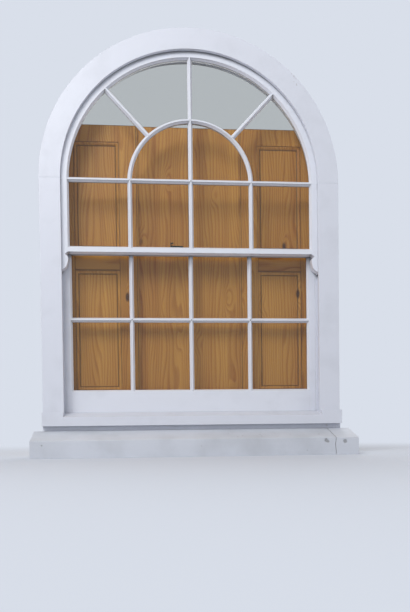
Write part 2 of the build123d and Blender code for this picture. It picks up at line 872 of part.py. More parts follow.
# Upper lights, seen from the street: the openings between the bars' sight lines
with BuildSketch() as inner_arch_strip:
    Circle(side_bar_place + bar_width / 2)
    Circle(side_bar_place - bar_width / 2, mode=Mode.SUBTRACT)
    Rectangle(
        2 * sight_radius, sight_radius, align=(Align.CENTER, Align.MAX), mode=Mode.SUBTRACT
    )
with BuildSketch() as upper_lights:
    with Locations((0, springing)):
        Circle(sight_radius)
        Rectangle(
            2 * sight_radius, sight_radius, align=(Align.CENTER, Align.MAX), mode=Mode.SUBTRACT
        )
        Rectangle(
            2 * sight_radius, springing - upper_meeting_sight, align=(Align.CENTER, Align.MAX)
        )
        add(inner_arch_strip.sketch, mode=Mode.SUBTRACT)
        Rectangle(bar_width, 2 * sight_radius, mode=Mode.SUBTRACT)
    with Locations((0, springing_bar_middle)):
        Rectangle(2 * sight_radius, bar_width, mode=Mode.SUBTRACT)
    with Locations((-side_bar_place, springing), (side_bar_place, springing)):
        Rectangle(bar_width, sight_radius, align=(Align.CENTER, Align.MAX), mode=Mode.SUBTRACT)
    for bar_angle in (radial_angle, 180 - radial_angle):
        with Locations(Location((0, springing, 0), (0, 0, bar_angle))):
            with Locations((side_bar_place, 0)):
                Rectangle(
                    sight_radius, bar_width, align=(Align.MIN, Align.CENTER), mode=Mode.SUBTRACT
                )
save(panes_of(upper_lights, 0), "upper_panes")
save(putty_of(upper_lights, 0), "upper_putty")

# Lower sash
with BuildPart() as lower_stile:
    with BuildSketch(Plane((0, lower_sash_y, lower_sash_bottom))):
        add(moulded_edge(lower_stile_width, lambda u, y: (lower_sight_half + u, y)))
    extrude(amount=lower_sash_top - lower_sash_bottom)
    add(cord_housing(lower_cord_y, lower_knot_z, lower_sash_top), mode=Mode.SUBTRACT)
save(side_copy(lower_stile.part, left), "lower_stile_left")
save(lower_stile.part, "lower_stile_right")

lower_stiles = [lower_stile.part, side_copy(lower_stile.part, left)]
lower_half_length = lower_sight_half + rebate_width
with BuildPart() as lower_meeting_rail:
    add(rail(lower_meeting_sight, lower_meeting_height, 1, lower_half_length, lower_sash_y))
    add(lower_stiles, mode=Mode.SUBTRACT)
    with Locations((0, lower_sash_y, lower_sash_top)):
        Box(
            2 * meeting_half_width,
            meeting_overhang,
            lower_meeting_height - rebate_width,
            align=(Align.CENTER, Align.MAX, Align.MAX),
        )
save(lower_meeting_rail.part, "lower_meeting_rail")

with BuildPart() as bottom_rail:
    add(rail(bottom_rail_sight, bottom_rail_height, -1, lower_half_length, lower_sash_y))
    add(lower_stiles, mode=Mode.SUBTRACT)
save(bottom_rail.part, "bottom_rail")

lower_bar_foot = bottom_rail_sight - bar_overlap
lower_bar_top = lower_meeting_sight + bar_overlap
lower_bar_places = (-lower_side_bar_place, 0, lower_side_bar_place)
lower_uprights = [
    upright_bar(x, lower_bar_foot, lower_bar_top, lower_sash_y) for x in lower_bar_places
]
cross_bar = level_bar(cross_bar_middle, lower_half_length, lower_sash_y)
with BuildPart() as trimmed_lower_uprights:
    add(lower_uprights)
    add([bottom_rail.part, lower_meeting_rail.part], mode=Mode.SUBTRACT)
with BuildPart() as trimmed_cross_bar:
    add(cross_bar)
    add(lower_uprights + lower_stiles, mode=Mode.SUBTRACT)
save(group(trimmed_lower_uprights.part, trimmed_cross_bar.part), "lower_glazing_bars")

with BuildSketch() as lower_lights:
    with Locations((0, bottom_rail_sight)):
        Rectangle(
            2 * lower_sight_half,
            lower_meeting_sight - bottom_rail_sight,
            align=(Align.CENTER, Align.MIN),
        )
        for x in lower_bar_places:
            with Locations((x, 0)):
                Rectangle(
                    bar_width,
                    lower_meeting_sight - bottom_rail_sight,
                    align=(Align.CENTER, Align.MIN),
                    mode=Mode.SUBTRACT,
                )
    with Locations((0, cross_bar_middle)):
        Rectangle(2 * lower_sight_half, bar_width, mode=Mode.SUBTRACT)
save(panes_of(lower_lights, lower_sash_y), "lower_panes")
save(putty_of(lower_lights, lower_sash_y), "lower_putty")

# Sash fastener: a lever on the lower sash swings under the keep on the upper sash
lever_axis_y = lower_sash_back - fastener_plate[1] / 2 - mould_width
lever_bottom = lower_sash_top + plate_thickness + fastener_boss_height
with BuildPart() as fastener_base:
    with BuildSketch(Plane((fastener_place, lever_axis_y, lower_sash_top))):
        RectangleRounded(*fastener_plate, plate_thickness)
    extrude(amount=plate_thickness)
    with BuildSketch(Plane((fastener_place, lever_axis_y, lower_sash_top + plate_thickness))):
        Circle(fastener_boss_radius)
    extrude(amount=fastener_boss_height - lever_clearance)
    with BuildSketch(Plane((fastener_place, lever_axis_y, lower_sash_top + plate_thickness))):
        Circle(fastener_pin_radius)
    extrude(amount=fastener_boss_height + lever_thickness)
save(fastener_base.part, "fastener_base")

with BuildPart() as fastener_lever:
    with BuildSketch(Plane((fastener_place, lever_axis_y, lever_bottom))):
        Circle(fastener_boss_radius)
        Rectangle(lever_length, lever_width, align=(Align.MIN, Align.CENTER))
        Circle(fastener_pin_radius + axle_clearance, mode=Mode.SUBTRACT)
    extrude(amount=lever_thickness)
    with Locations(
        (fastener_place + lever_length, lever_axis_y, lever_bottom + lever_thickness / 2)
    ):
        Sphere(lever_knob_radius)
save(fastener_lever.part, "fastener_lever")

keep_y = sash_thickness - keep_edge_gap - keep_plate[1] / 2
keep_roof = lever_bottom + lever_thickness + 2 * lever_clearance
with BuildPart() as fastener_keep:
    with BuildSketch(Plane((fastener_place, keep_y, upper_meeting_sight))):
        RectangleRounded(*keep_plate, plate_thickness)
    extrude(amount=plate_thickness)
    with BuildSketch(front_plane(keep_y + keep_plate[1] / 2)):
        with BuildLine():
            hook_left = fastener_place - lever_width / 2 - lever_clearance - keep_wall
            hook_right = fastener_place + lever_width / 2
            Polyline(
                (hook_left, upper_meeting_sight),
                (hook_left, keep_roof + keep_wall),
                (hook_right, keep_roof + keep_wall),
                (hook_right, keep_roof),
                (hook_left + keep_wall, keep_roof),
                (hook_left + keep_wall, upper_meeting_sight),
                close=True,
            )
        make_face()
    extrude(amount=keep_plate[1])
save(fastener_keep.part, "fastener_keep")

# Hook lifts on the bottom rail
lift_z = lower_sash_bottom + bottom_rail_height / 2
with BuildPart() as sash_lift:
    with BuildSketch(front_plane(lower_sash_back + plate_thickness)):
        with Locations((lift_place, lift_z)):
            RectangleRounded(*lift_plate, plate_thickness)
    extrude(amount=plate_thickness)
    with BuildSketch(Plane.YZ.offset(lift_place - lift_width / 2)):
        with BuildLine():
            lip = lower_sash_back + lift_reach
            lift_low = lift_z - lift_height / 2
            lift_high = lift_z + lift_height / 2
            Polyline(
                (lower_sash_back + plate_thickness, lift_low),
                (lip - plate_thickness, lift_low),
                (lip, lift_low + plate_thickness),
                (lip, lift_high),
                (lip - plate_thickness, lift_high),
                (lip - plate_thickness, lift_low + 2 * plate_thickness),
                (lip - 2 * plate_thickness, lift_low + plate_thickness),
                (lower_sash_back + plate_thickness, lift_low + plate_thickness),
                close=True,
            )
        make_face()
    extrude(amount=lift_width)
save(both_sides(sash_lift.part), "sash_lifts")

# Shutters: hanging post, framed leaf with moulded panels, and plain board flap
post = upright_board(
    leaf_outer_edge + shutter_joint,
    leaf_outer_edge + shutter_joint + post_width,
    frame_rear,
    shutter_back,
    shutter_bottom,
    shutter_top,
)


def leaf_board(near_x, far_x, low, high):
    """One stile or rail of the right-hand leaf."""
    return upright_board(near_x, far_x, shutter_y, shutter_back, low, high)


leaf_timbers = [
    leaf_board(leaf_inner_edge, panel_edges[0], shutter_bottom, shutter_top),
    leaf_board(panel_edges[1], leaf_outer_edge, shutter_bottom, shutter_top),
    leaf_board(*panel_edges, shutter_bottom, lower_panel_span[0]),
    leaf_board(*panel_edges, lower_panel_span[1], upper_panel_span[0]),
    leaf_board(*panel_edges, upper_panel_span[1], shutter_top),
]


def leaf_panel(span):
    """A thin panel flush with its frame's inner edges, and the moulding planted round it."""
    low, high = span
    width = panel_edges[1] - panel_edges[0]
    middle = ((panel_edges[0] + panel_edges[1]) / 2, (low + high) / 2)
    panel_face = shutter_y + leaf_panel_recess
    slope = degrees(atan2(panel_moulding_width / 2, panel_moulding_height))
    with BuildPart() as panel:
        with BuildSketch(front_plane(panel_face + leaf_panel_thickness)):
            with Locations(middle):
                Rectangle(width, high - low)
        extrude(amount=leaf_panel_thickness)
        with BuildSketch(front_plane(panel_face)):
            with Locations(middle):
                Rectangle(width, high - low)
                Rectangle(
                    width - 2 * panel_moulding_width,
                    high - low - 2 * panel_moulding_width,
                    mode=Mode.SUBTRACT,
                )
        extrude(amount=panel_moulding_height)
        with BuildSketch(front_plane(panel_face)):
            with Locations(middle):
                Rectangle(
                    width - 2 * panel_moulding_width, high - low - 2 * panel_moulding_width
                )
        extrude(amount=panel_moulding_height, taper=-slope, mode=Mode.SUBTRACT)
    return panel.part


def flap_board():
    """The right-hand flap: one plain board with beaded long edges."""
    with BuildPart() as flap:
        with BuildSketch(Plane.XY.offset(shutter_bottom)):
            with Locations((shutter_meeting_gap / 2, shutter_back)):
                Rectangle(
                    leaf_inner_edge - shutter_joint - shutter_meeting_gap / 2,
                    flap_thickness,
                    align=(Align.MIN, Align.MAX),
                )
            chamfer(vertices(), board_bead)
        extrude(amount=shutter_height)
    return flap.part


def butt_plates(axis_x, toward, knuckles, with_pin):
    """One half of each butt on a right-hand shutter: a plate that runs toward +X or -X, and its
    knuckles, given as thirds of the butt's length. The half that holds the pin has its ends."""
    third = butt_length / 3
    near = butt_knuckle_radius + butt_knuckle_gap
    edge = Align.MIN if toward > 0 else Align.MAX
    with BuildPart() as half:
        for share in butt_heights:
            foot = shutter_bottom + share * shutter_height - butt_length / 2
            with BuildSketch(Plane.XY.offset(foot)):
                with Locations((axis_x + toward * near, shutter_back)):
                    Rectangle(butt_width, butt_thickness, align=(edge, Align.MIN))
            extrude(amount=butt_length)
            for place in knuckles:
                low = foot + place * third + (butt_knuckle_gap if place else 0)
                high = foot + (place + 1) * third - (butt_knuckle_gap if place < 2 else 0)
                with BuildSketch(Plane.XY.offset(low)):
                    with Locations((axis_x, butt_axis_y)):
                        Circle(butt_knuckle_radius)
                    with Locations((axis_x, shutter_back)):
                        Rectangle(near, butt_thickness, align=(edge, Align.MIN))
                    if not with_pin:
                        with Locations((axis_x, butt_axis_y)):
                            Circle(butt_pin_radius + butt_pin_clearance, mode=Mode.SUBTRACT)
                extrude(amount=high - low)
            if with_pin:
                with BuildSketch(Plane.XY.offset(foot)):
                    with Locations((axis_x, butt_axis_y)):
                        Circle(butt_pin_radius)
                extrude(amount=butt_length)
    return half.part


post_butts = butt_plates(leaf_axis_x, right, (0, 2), True)
leaf_post_butts = butt_plates(leaf_axis_x, left, (1,), False)
leaf_flap_butts = butt_plates(flap_axis_x, right, (0, 2), True)
flap_butts = butt_plates(flap_axis_x, left, (1,), False)
right_panels = group(leaf_panel(lower_panel_span), leaf_panel(upper_panel_span))
right_leaf = group(*leaf_timbers)
right_flap = flap_board()
for side, name in ((left, "left"), (right, "right")):
    save(side_copy(post, side), f"shutter_post_{name}")
    save(side_copy(right_leaf, side), f"leaf_frame_{name}")
    save(side_copy(right_panels, side), f"leaf_panels_{name}")
    leaf_butts = group(leaf_post_butts, leaf_flap_butts)
    save(side_copy(leaf_butts, side), f"leaf_butts_{name}")
    save(side_copy(right_flap, side), f"shutter_flap_{name}")
    save(side_copy(flap_butts, side), f"flap_butts_{name}")
save(both_sides(post_butts), "post_butts")
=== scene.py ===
import json
from math import atan2, cos, pi, radians, sin, sqrt
from random import Random

import bmesh
import bpy
from bpy.props import FloatProperty, FloatVectorProperty, IntProperty, PointerProperty
from mathutils import Matrix, Vector


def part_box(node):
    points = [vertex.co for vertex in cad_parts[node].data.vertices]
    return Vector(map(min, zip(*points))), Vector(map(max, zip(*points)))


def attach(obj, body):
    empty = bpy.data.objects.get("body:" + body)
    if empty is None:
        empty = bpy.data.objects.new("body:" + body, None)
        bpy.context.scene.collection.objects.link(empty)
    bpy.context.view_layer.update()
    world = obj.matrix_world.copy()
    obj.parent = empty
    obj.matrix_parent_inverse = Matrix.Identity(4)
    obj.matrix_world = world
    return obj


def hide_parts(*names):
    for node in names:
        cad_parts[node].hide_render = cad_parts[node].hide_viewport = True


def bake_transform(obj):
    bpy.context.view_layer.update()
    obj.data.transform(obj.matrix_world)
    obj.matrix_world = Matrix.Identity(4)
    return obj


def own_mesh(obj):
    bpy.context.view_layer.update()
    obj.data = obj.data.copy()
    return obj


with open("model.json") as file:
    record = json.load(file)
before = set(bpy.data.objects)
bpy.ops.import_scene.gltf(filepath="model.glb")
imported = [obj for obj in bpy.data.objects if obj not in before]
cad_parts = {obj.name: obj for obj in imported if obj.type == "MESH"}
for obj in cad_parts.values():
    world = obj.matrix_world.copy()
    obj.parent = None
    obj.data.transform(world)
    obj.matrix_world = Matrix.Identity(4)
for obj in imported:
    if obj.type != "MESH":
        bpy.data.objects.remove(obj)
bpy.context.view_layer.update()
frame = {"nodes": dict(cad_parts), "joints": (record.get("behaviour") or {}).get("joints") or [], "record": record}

bl_info = {
    "name": "Arched Sash Window",
    "version": (1, 0, 0),
    "blender": (4, 5, 0),
    "location": "3D View > Sidebar > Sash Window",
    "description": "Finishes a round-headed sash window with its sills and folding shutters",
    "category": "Object",
}

NODES = frame["nodes"]
RECORD = frame["record"]
BODY_OF = {n: b for b, names in RECORD["behaviour"]["bodies"].items() for n in names}
SLOT_OF = {part["node"]: part["material_slot"] for part in RECORD["subparts"]}
JOINT = {joint["name"]: joint for joint in frame["joints"]}

# Places read from the frame, in metres
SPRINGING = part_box("outer_arch_lining")[0][2]
HEAD_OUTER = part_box("upper_sash_head")[1][0]
UPPER_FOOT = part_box("upper_meeting_rail")[1][2]
LOWER_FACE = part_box("bottom_rail")[0][1]
LOWER_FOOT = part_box("bottom_rail")[1][2]
LOWER_HEAD, LOWER_TOP = (corner[2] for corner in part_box("lower_meeting_rail"))
SHUTTER_FOOT, SHUTTER_HEAD = (corner[2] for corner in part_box("leaf_frame_right"))
SILL_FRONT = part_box("stone_sill")[0][1]
SIDES = (("left", -1), ("right", 1))

SHARP = radians(30)  # edges that turn further than this are arrises
PICTURE_HEIGHT = 612  # pixels, in which the camera's focal length and shift are given

# Cords and their knots, in metres
CORD_RADIUS = 0.003
CORD_LINE_RADIUS = 0.026  # of the cord's middle round its pulley
KNOT_RADIUS = {"sash": 0.0065, "weight": 0.006}
SASH_KNOT_HEIGHT = {"upper": SPRINGING - 0.29, "lower": LOWER_TOP - 0.15}
WEIGHT_KNOT_DROP = 0.05427  # from the weight's top to the knot in its pocket

# Screws, in metres
FACEPLATE_SCREW_RISE = 0.046  # over and under a pulley's axle
FASTENER_PLATE = 0.003
FASTENER_SCREW_INSET = 0.008
KEEP_SCREW_INSET = 0.009
LIFT_PLATE = 0.003
LIFT_MIDDLE_INSET = 0.029  # from a lift's outer end to its middle
LIFT_SCREW_SPREAD = 0.0255
BUTT_LEAF = 0.002
BUTT_SCREW_RISES = (-0.026, 0, 0.026)
BUTT_SCREW_OUT = 0.017  # from the pin
BUTT_HEIGHTS = (0.12, 0.5, 0.88)  # as shares of the shutter's height
SCREW_SHARE = {"aged_brass": 0.85, "black_fitting": 0.7, "steel_butt": 0.7}  # of the head's radius


def linear(code):
    """A hex colour as the linear values that Blender works with."""
    parts = [int(code[i : i + 2], 16) / 255 for i in (1, 3, 5)]
    return [p / 12.92 if p <= 0.04045 else ((p + 0.055) / 1.055) ** 2.4 for p in parts]


def colour(name, code, about):
    """A colour that the user can change."""
    return FloatVectorProperty(
        name=name, description=about, default=linear(code), size=3, subtype="COLOR", min=0, max=1
    )


def length(name, default, about):
    """A length in metres that the user can change."""
    return FloatProperty(name=name, description=about, default=default, unit="LENGTH", min=0)


class SASH_PG_paint(bpy.types.PropertyGroup):
    """Oil paint and masonry paint."""

    sash: colour("Sashes", "#E6E9F2", "Gloss white on the two sashes")
    frame: colour("Box frame", "#E0E3ED", "Gloss white on linings, beads and the timber sill")
    old: colour("Old coat", "#A39C8E", "Undercoat where the gloss has chipped")
    grime: colour("Grime", "#8C8F92", "Street dirt rubbed over the paint and on ledges")
    # Colour of dark dirt and of painted shade, laid where the surface is shut in by what stands out over it
    soot_and_shade: colour("Soot", "#45423F", "Dark dirt in quirks and joints")
    masonry: colour("Stone sill", "#D6DAE3", "Masonry paint on the stone sill")
    opened: colour("Opened stone", "#6E6C68", "Bottom of the sill's seam, dents and pits")
    seam: length("Seam", 0.668, "Mended seam in the stone, right of the window's centre line")
    dents: length("Dents", 0.064, "Height of the two dents beside the seam")
    arris: length("Arris", 0.0011, "Rounding that coats of paint leave on an edge")
    fine_arris: length("Fine arris", 0.0006, "Rounding on moulded edges")
    stone_arris: length("Stone arris", 0.0033, "Rounding of the stone sill's worn edges")


class SASH_PG_timber(bpy.types.PropertyGroup):
    """Pine of the shutters and bare softwood in the box."""

    early: colour("Early wood", "#E8AB50", "Pale part of a growth ring under old polish")
    late: colour("Late wood", "#A86018", "Dark part of a growth ring")
    knot: colour("Knot", "#58300F", "Knots in the shutters")
    bare: colour("Bare softwood", "#CFA67A", "Sawn softwood inside the box frame")
    patina_and_shade: colour("Patina", "#3A1F0C", "Old polish and dust in quirks and joints")
    ring: length("Growth ring", 0.016, "Width of a growth ring on a plain-sawn board")
    arris: length("Arris", 0.0008, "Rounding of the shutters' edges")
    # Colour of old polish and dust, and of painted shade, in quirks and joints
    lip: length("Lip", 0.007, "Width of the lip that covers a leaf's joint with its flap")
    lip_clearance: length("Lip clearance", 0.0005, "Room between the lip and the flap")
    panel_quirk: length("Panel quirk", 0.018, "From a panel's edge to the quirk of its moulding")


class SASH_PG_bars(bpy.types.PropertyGroup):
    """Glazing bars."""

    width: length("Bar width", 0.0225, "Width of a bar across its glass")
    nose: length("Nose", 0.008, "Width of a bar at its room face")
    rebate: length("Rebate", 0.008, "Width of the glazing rebate")
    seat: length("Glass seat", 0.017, "Depth of the rebate below the street face")
    square: length("Square", 0.004, "Flat before the moulding")
    quirk: length("Quirk", 0.0015, "Small step beside the moulding")
    mould: length("Moulding", 0.017, "Depth of the ovolo")
    depth: length("Sash thickness", 0.045, "Depth of a bar from face to face")
    side: length("Side bar", 0.3025, "Side bar from the centreline, and radius of the inner arch")
    lower_side: length("Lower side bar", 0.3005, "Side bar of the lower sash")
    sight: length("Glass radius", 0.6, "Radius of the glazed arch")
    rise: length("Springing bar", 0.004, "Height of the springing bar over the arch's centre")
    cross: length("Cross bar", 0.68255, "Height of the lower sash's cross bar")
    fan: FloatProperty(
        name="Fan angle",
        description="Radial bar above the springing line",
        default=radians(47),
        subtype="ANGLE",
    )


class SASH_PG_metal(bpy.types.PropertyGroup):
    """Pulleys, fastener, lifts, butts, weights and cords."""

    iron: colour("Cast iron", "#3B3835", "Sand-cast weights and pulley wheels")
    brass: colour("Brass", "#A9864A", "Handled brass of the faceplates and lifts")
    japan: colour("Black japan", "#191817", "Black enamel on the fastener")
    steel: colour("Steel", "#8C8780", "Pressed butts")
    cord: colour("Cord", "#D8CDB2", "Waxed cotton sash cord")
    fitting_arris: length("Fitting arris", 0.0007, "Rounding on the fastener and the lifts")
    sheet_arris: length("Sheet arris", 0.0003, "Rounding on butts and pulley cases")
    wheel_arris: length("Wheel arris", 0.0004, "Rounding on the pulley wheels")
    weight_arris: length("Weight arris", 0.0015, "Rounding on the cast weights")
    screw: length("Screw head", 0.0035, "Radius of a screw's countersunk head")
    seed: IntProperty(name="Seed", description="Turn of the screw slots", default=7)


class SASH_PG_glass(bpy.types.PropertyGroup):
    """Panes."""

    tint: colour("Tint", "#CFD0CA", "Light that a pane lets through, one surface of it")
    wave: length("Wave", 0.09, "Distance between the ripples of drawn sheet")


class SASH_PG_stage(bpy.types.PropertyGroup):
    """Floor, lamps and camera."""

    floor: colour("Floor", "#D5DAE4", "Pale floor")
    backdrop: colour("Backdrop", "#D9DFEA", "Pale room round the window")
    ambient: FloatProperty(
        name="Ambient", description="White light from all round", default=0.45, subtype="FACTOR", min=0
    )
    focal: FloatProperty(
        name="Focal length", description="In pixels of the picture", default=668.2, subtype="PIXEL"
    )
    eye: FloatVectorProperty(
        name="Eye", description="Camera", default=(-0.294, -3.3306, 0.11905), subtype="TRANSLATION"
    )
    turn: FloatVectorProperty(
        name="Turn",
        description="Yaw, pitch and roll of the camera",
        default=(0.0897, -0.0251, -0.0121),
        unit="ROTATION",
    )
    shift: FloatVectorProperty(
        name="Shift", description="Offset of the picture's centre, in pixels", default=(-9.7, 142.0), size=2
    )


class SASH_PG_window(bpy.types.PropertyGroup):
    """All settings of the window."""

    paint: PointerProperty(type=SASH_PG_paint)
    timber: PointerProperty(type=SASH_PG_timber)
    bars: PointerProperty(type=SASH_PG_bars)
    metal: PointerProperty(type=SASH_PG_metal)
    glass: PointerProperty(type=SASH_PG_glass)
    stage: PointerProperty(type=SASH_PG_stage)


def feed(node, inputs):
    """Fills a node's inputs. Each takes a value, a socket to link from, a node whose first live output
    is linked, or a list of sockets and nodes."""
    for key, given in inputs.items():
        for source in given if isinstance(given, list) else [given]:
            if isinstance(source, bpy.types.Node):
                source = next(output for output in source.outputs if output.enabled)
            if isinstance(source, bpy.types.NodeSocket):
                node.id_data.links.new(source, node.inputs[key])
            else:
                node.inputs[key].default_value = source


def add_node(tree, kind, inputs=None, **settings):
    """Adds a node with its settings and its inputs."""
    node = tree.nodes.new(kind)
    for key, value in settings.items():
        setattr(node, key, value)
    feed(node, inputs or {})
    return node


def new_material(name):
    """An empty material, its node tree and its Principled shader."""
    material = bpy.data.materials.new(name)
    material.use_nodes = True
    return material, material.node_tree, material.node_tree.nodes["Principled BSDF"]


def board_place(tree, scale):
    """The coordinates along and across each board, stretched so that a pattern follows its grain."""
    place = add_node(tree, "ShaderNodeAttribute", attribute_name="board").outputs["Vector"]
    return add_node(tree, "ShaderNodeMapping", {"Vector": place, "Scale": scale})


def board_grain(tree, scale, detail):
    """Cloudy streaks drawn out along each board."""
    place = board_place(tree, scale)
    return add_node(tree, "ShaderNodeTexNoise", {"Vector": place, "Scale": 1.0, "Detail": detail})


def oil_gloss(name, body, paint):
    """Oil gloss laid with a brush over many coats: soft shine, faint brush ridges along each member, rubbed dirt,
    dark dirt with painted shade in the quirks and under ledges, and a few chips down to an older coat."""
    material, tree, shader = new_material(name)
    where = add_node(tree, "ShaderNodeTexCoord").outputs["Object"]
    # Bristle tracks about 1.5 mm apart, drawn out along the member
    tracks = board_grain(tree, (650, 650, 9), 3.0)
    # Film thickness drifts over some 120 mm, and rubbed dirt with it
    drift = add_node(tree, "ShaderNodeTexNoise", {"Vector": where, "Scale": 8.0, "Detail": 5.0})
    soil = add_node(
        tree, "ShaderNodeMapRange", {"Value": drift, "From Min": 0.5, "From Max": 0.85, "To Max": 0.13}
    )
    # Dust lies on what faces up
    normal = add_node(tree, "ShaderNodeNewGeometry").outputs["Normal"]
    up = add_node(tree, "ShaderNodeSeparateXYZ", {"Vector": normal}).outputs["Z"]
    ledge = add_node(
        tree, "ShaderNodeMapRange", {"Value": up, "From Min": 0.6, "From Max": 1.0, "To Max": 0.22}
    )
    dust = add_node(tree, "ShaderNodeMath", {0: ledge, 1: drift}, operation="MULTIPLY")
    dirt = add_node(tree, "ShaderNodeMath", {0: soil, 1: dust}, operation="ADD")
    soiled = add_node(
        tree,
        "ShaderNodeMix",
        {"Factor": dirt, "A": (*body, 1), "B": (*paint.grime, 1)},
        data_type="RGBA",
    )
    # Painted shade with dark dirt, where something stands out over the surface within 30 mm: occlusion is sought
    # over a hemisphere tilted upward, so the darkening gathers under ledges and in quirks
    leaning = add_node(tree, "ShaderNodeVectorMath", {0: normal, 1: (0, 0, 1.3)}, operation="ADD")
    skyward = add_node(tree, "ShaderNodeVectorMath", {0: leaning}, operation="NORMALIZE")
    open_air = add_node(
        tree, "ShaderNodeAmbientOcclusion", {"Distance": 0.03, "Normal": skyward}, samples=8
    ).outputs["AO"]
    shade_and_soot_share = add_node(
        tree,
        "ShaderNodeMapRange",
        {"Value": open_air, "From Min": 0.52, "From Max": 0.05, "To Max": 0.8},
        interpolation_type="SMOOTHSTEP",
    )
    sooted_and_shaded = add_node(
        tree, "ShaderNodeMix", {"Factor": shade_and_soot_share, "A": soiled, "B": (*paint.soot_and_shade, 1)}, data_type="RGBA"
    )
    # Chips 3 to 8 mm across, in a few places only
    flakes = add_node(tree, "ShaderNodeTexNoise", {"Vector": where, "Scale": 95.0, "Detail": 4.0})
    patch = add_node(tree, "ShaderNodeTexNoise", {"Vector": where, "Scale": 4.7, "Detail": 1.0})
    weak = add_node(tree, "ShaderNodeMath", {0: flakes, 1: patch}, operation="ADD")
    chipped = add_node(tree, "ShaderNodeMapRange", {"Value": weak, "From Min": 1.395, "From Max": 1.415})
    coat = add_node(
        tree, "ShaderNodeMix", {"Factor": chipped, "A": sooted_and_shaded, "B": (*paint.old, 1)}, data_type="RGBA"
    )
    sheen = add_node(tree, "ShaderNodeMapRange", {"Value": tracks, "To Min": 0.31, "To Max": 0.47})
    dull = add_node(tree, "ShaderNodeMath", {0: sheen, 1: dirt}, operation="ADD", use_clamp=True)
    ridges = add_node(tree, "ShaderNodeBump", {"Strength": 0.11, "Distance": 0.0003, "Height": tracks})
    sags = add_node(
        tree, "ShaderNodeBump", {"Strength": 0.3, "Distance": 0.004, "Height": drift, "Normal": ridges}
    )
    holes = add_node(
        tree,
        "ShaderNodeBump",
        {"Strength": 0.8, "Distance": 0.0006, "Height": chipped, "Normal": sags},
        invert=True,
    )
    feed(shader, {"Base Color": coat, "Roughness": dull, "Normal": holes})
    feed(shader, {"Coat Weight": 0.1, "Coat Roughness": 0.25})
    return material


def masonry_paint(name, paint):
    """Masonry paint over dressed stone: matt, pitted and dirty, with a mended seam and two dents."""
    material, tree, shader = new_material(name)
    where = add_node(tree, "ShaderNodeTexCoord").outputs["Object"]
    # Sandy grain near 5 mm, and clouds of dirt near 200 mm
    grain = add_node(tree, "ShaderNodeTexNoise", {"Vector": where, "Scale": 220.0, "Detail": 4.0})
    cloud = add_node(tree, "ShaderNodeTexNoise", {"Vector": where, "Scale": 5.0, "Detail": 6.0})
    # Pits where the stone has lost its face, up to 10 mm across
    pits = add_node(tree, "ShaderNodeTexVoronoi", {"Vector": where, "Scale": 26.0})
    deep = add_node(tree, "ShaderNodeMapRange", {"Value": pits, "From Min": 0.13, "From Max": 0.02})
    rare = add_node(tree, "ShaderNodeMapRange", {"Value": cloud, "From Min": 0.53, "From Max": 0.62})
    opened = add_node(tree, "ShaderNodeMath", {0: deep, 1: rare}, operation="MULTIPLY")
    # A mended seam near the right end of the sill, within 6 mm of a straight line
    wander = add_node(tree, "ShaderNodeTexNoise", {"Vector": where, "Scale": 30.0, "Detail": 3.0})
    stray = 0.012
    across = add_node(tree, "ShaderNodeSeparateXYZ", {"Vector": where}).outputs["X"]
    strayed = add_node(tree, "ShaderNodeMath", {0: wander, 1: stray, 2: across}, operation="MULTIPLY_ADD")
    beside = add_node(
        tree, "ShaderNodeMath", {0: strayed, 1: paint.seam + stray / 2}, operation="SUBTRACT"
    )
    off = add_node(tree, "ShaderNodeMath", {0: beside}, operation="ABSOLUTE")
    worn = [(off, 0.0024, 0.0004)]
    # A dent on either side of it where the face has been knocked, some 10 mm across and ragged
    beside_seam, rag = 0.045, 0.045
    for side in (-1, 1):
        middle = (paint.seam + side * beside_seam, SILL_FRONT, paint.dents)
        away = add_node(tree, "ShaderNodeVectorMath", {0: where, 1: middle}, operation="DISTANCE")
        ragged = add_node(
            tree, "ShaderNodeMath", {0: wander, 1: side * rag, 2: away}, operation="MULTIPLY_ADD"
        )
        worn.append((ragged, 0.007 + side * rag / 2, 0.003 + side * rag / 2))
    for distance, rim, floor in worn:
        sunk = add_node(
            tree,
            "ShaderNodeMapRange",
            {"Value": distance, "From Min": rim, "From Max": floor, "To Max": 0.8},
        )
        opened = add_node(tree, "ShaderNodeMath", {0: opened, 1: sunk}, operation="MAXIMUM")
    dirt = add_node(
        tree, "ShaderNodeMapRange", {"Value": cloud, "From Min": 0.42, "From Max": 0.75, "To Max": 0.3}
    )
    soiled = add_node(
        tree,
        "ShaderNodeMix",
        {"Factor": dirt, "A": (*paint.masonry, 1), "B": (*paint.grime, 1)},
        data_type="RGBA",
    )
    shown = add_node(tree, "ShaderNodeMath", {0: opened, 1: 0.7}, operation="MULTIPLY")
    coat = add_node(
        tree, "ShaderNodeMix", {"Factor": shown, "A": soiled, "B": (*paint.opened, 1)}, data_type="RGBA"
    )
    rough = add_node(tree, "ShaderNodeMapRange", {"Value": grain, "To Min": 0.6, "To Max": 0.9})
    skin = add_node(tree, "ShaderNodeBump", {"Strength": 0.35, "Distance": 0.0012, "Height": grain})
    holes = add_node(
        tree,
        "ShaderNodeBump",
        {"Strength": 0.9, "Distance": 0.003, "Height": opened, "Normal": skin},
        invert=True,
    )
    feed(shader, {"Base Color": coat, "Roughness": rough, "Normal": holes})
    return material


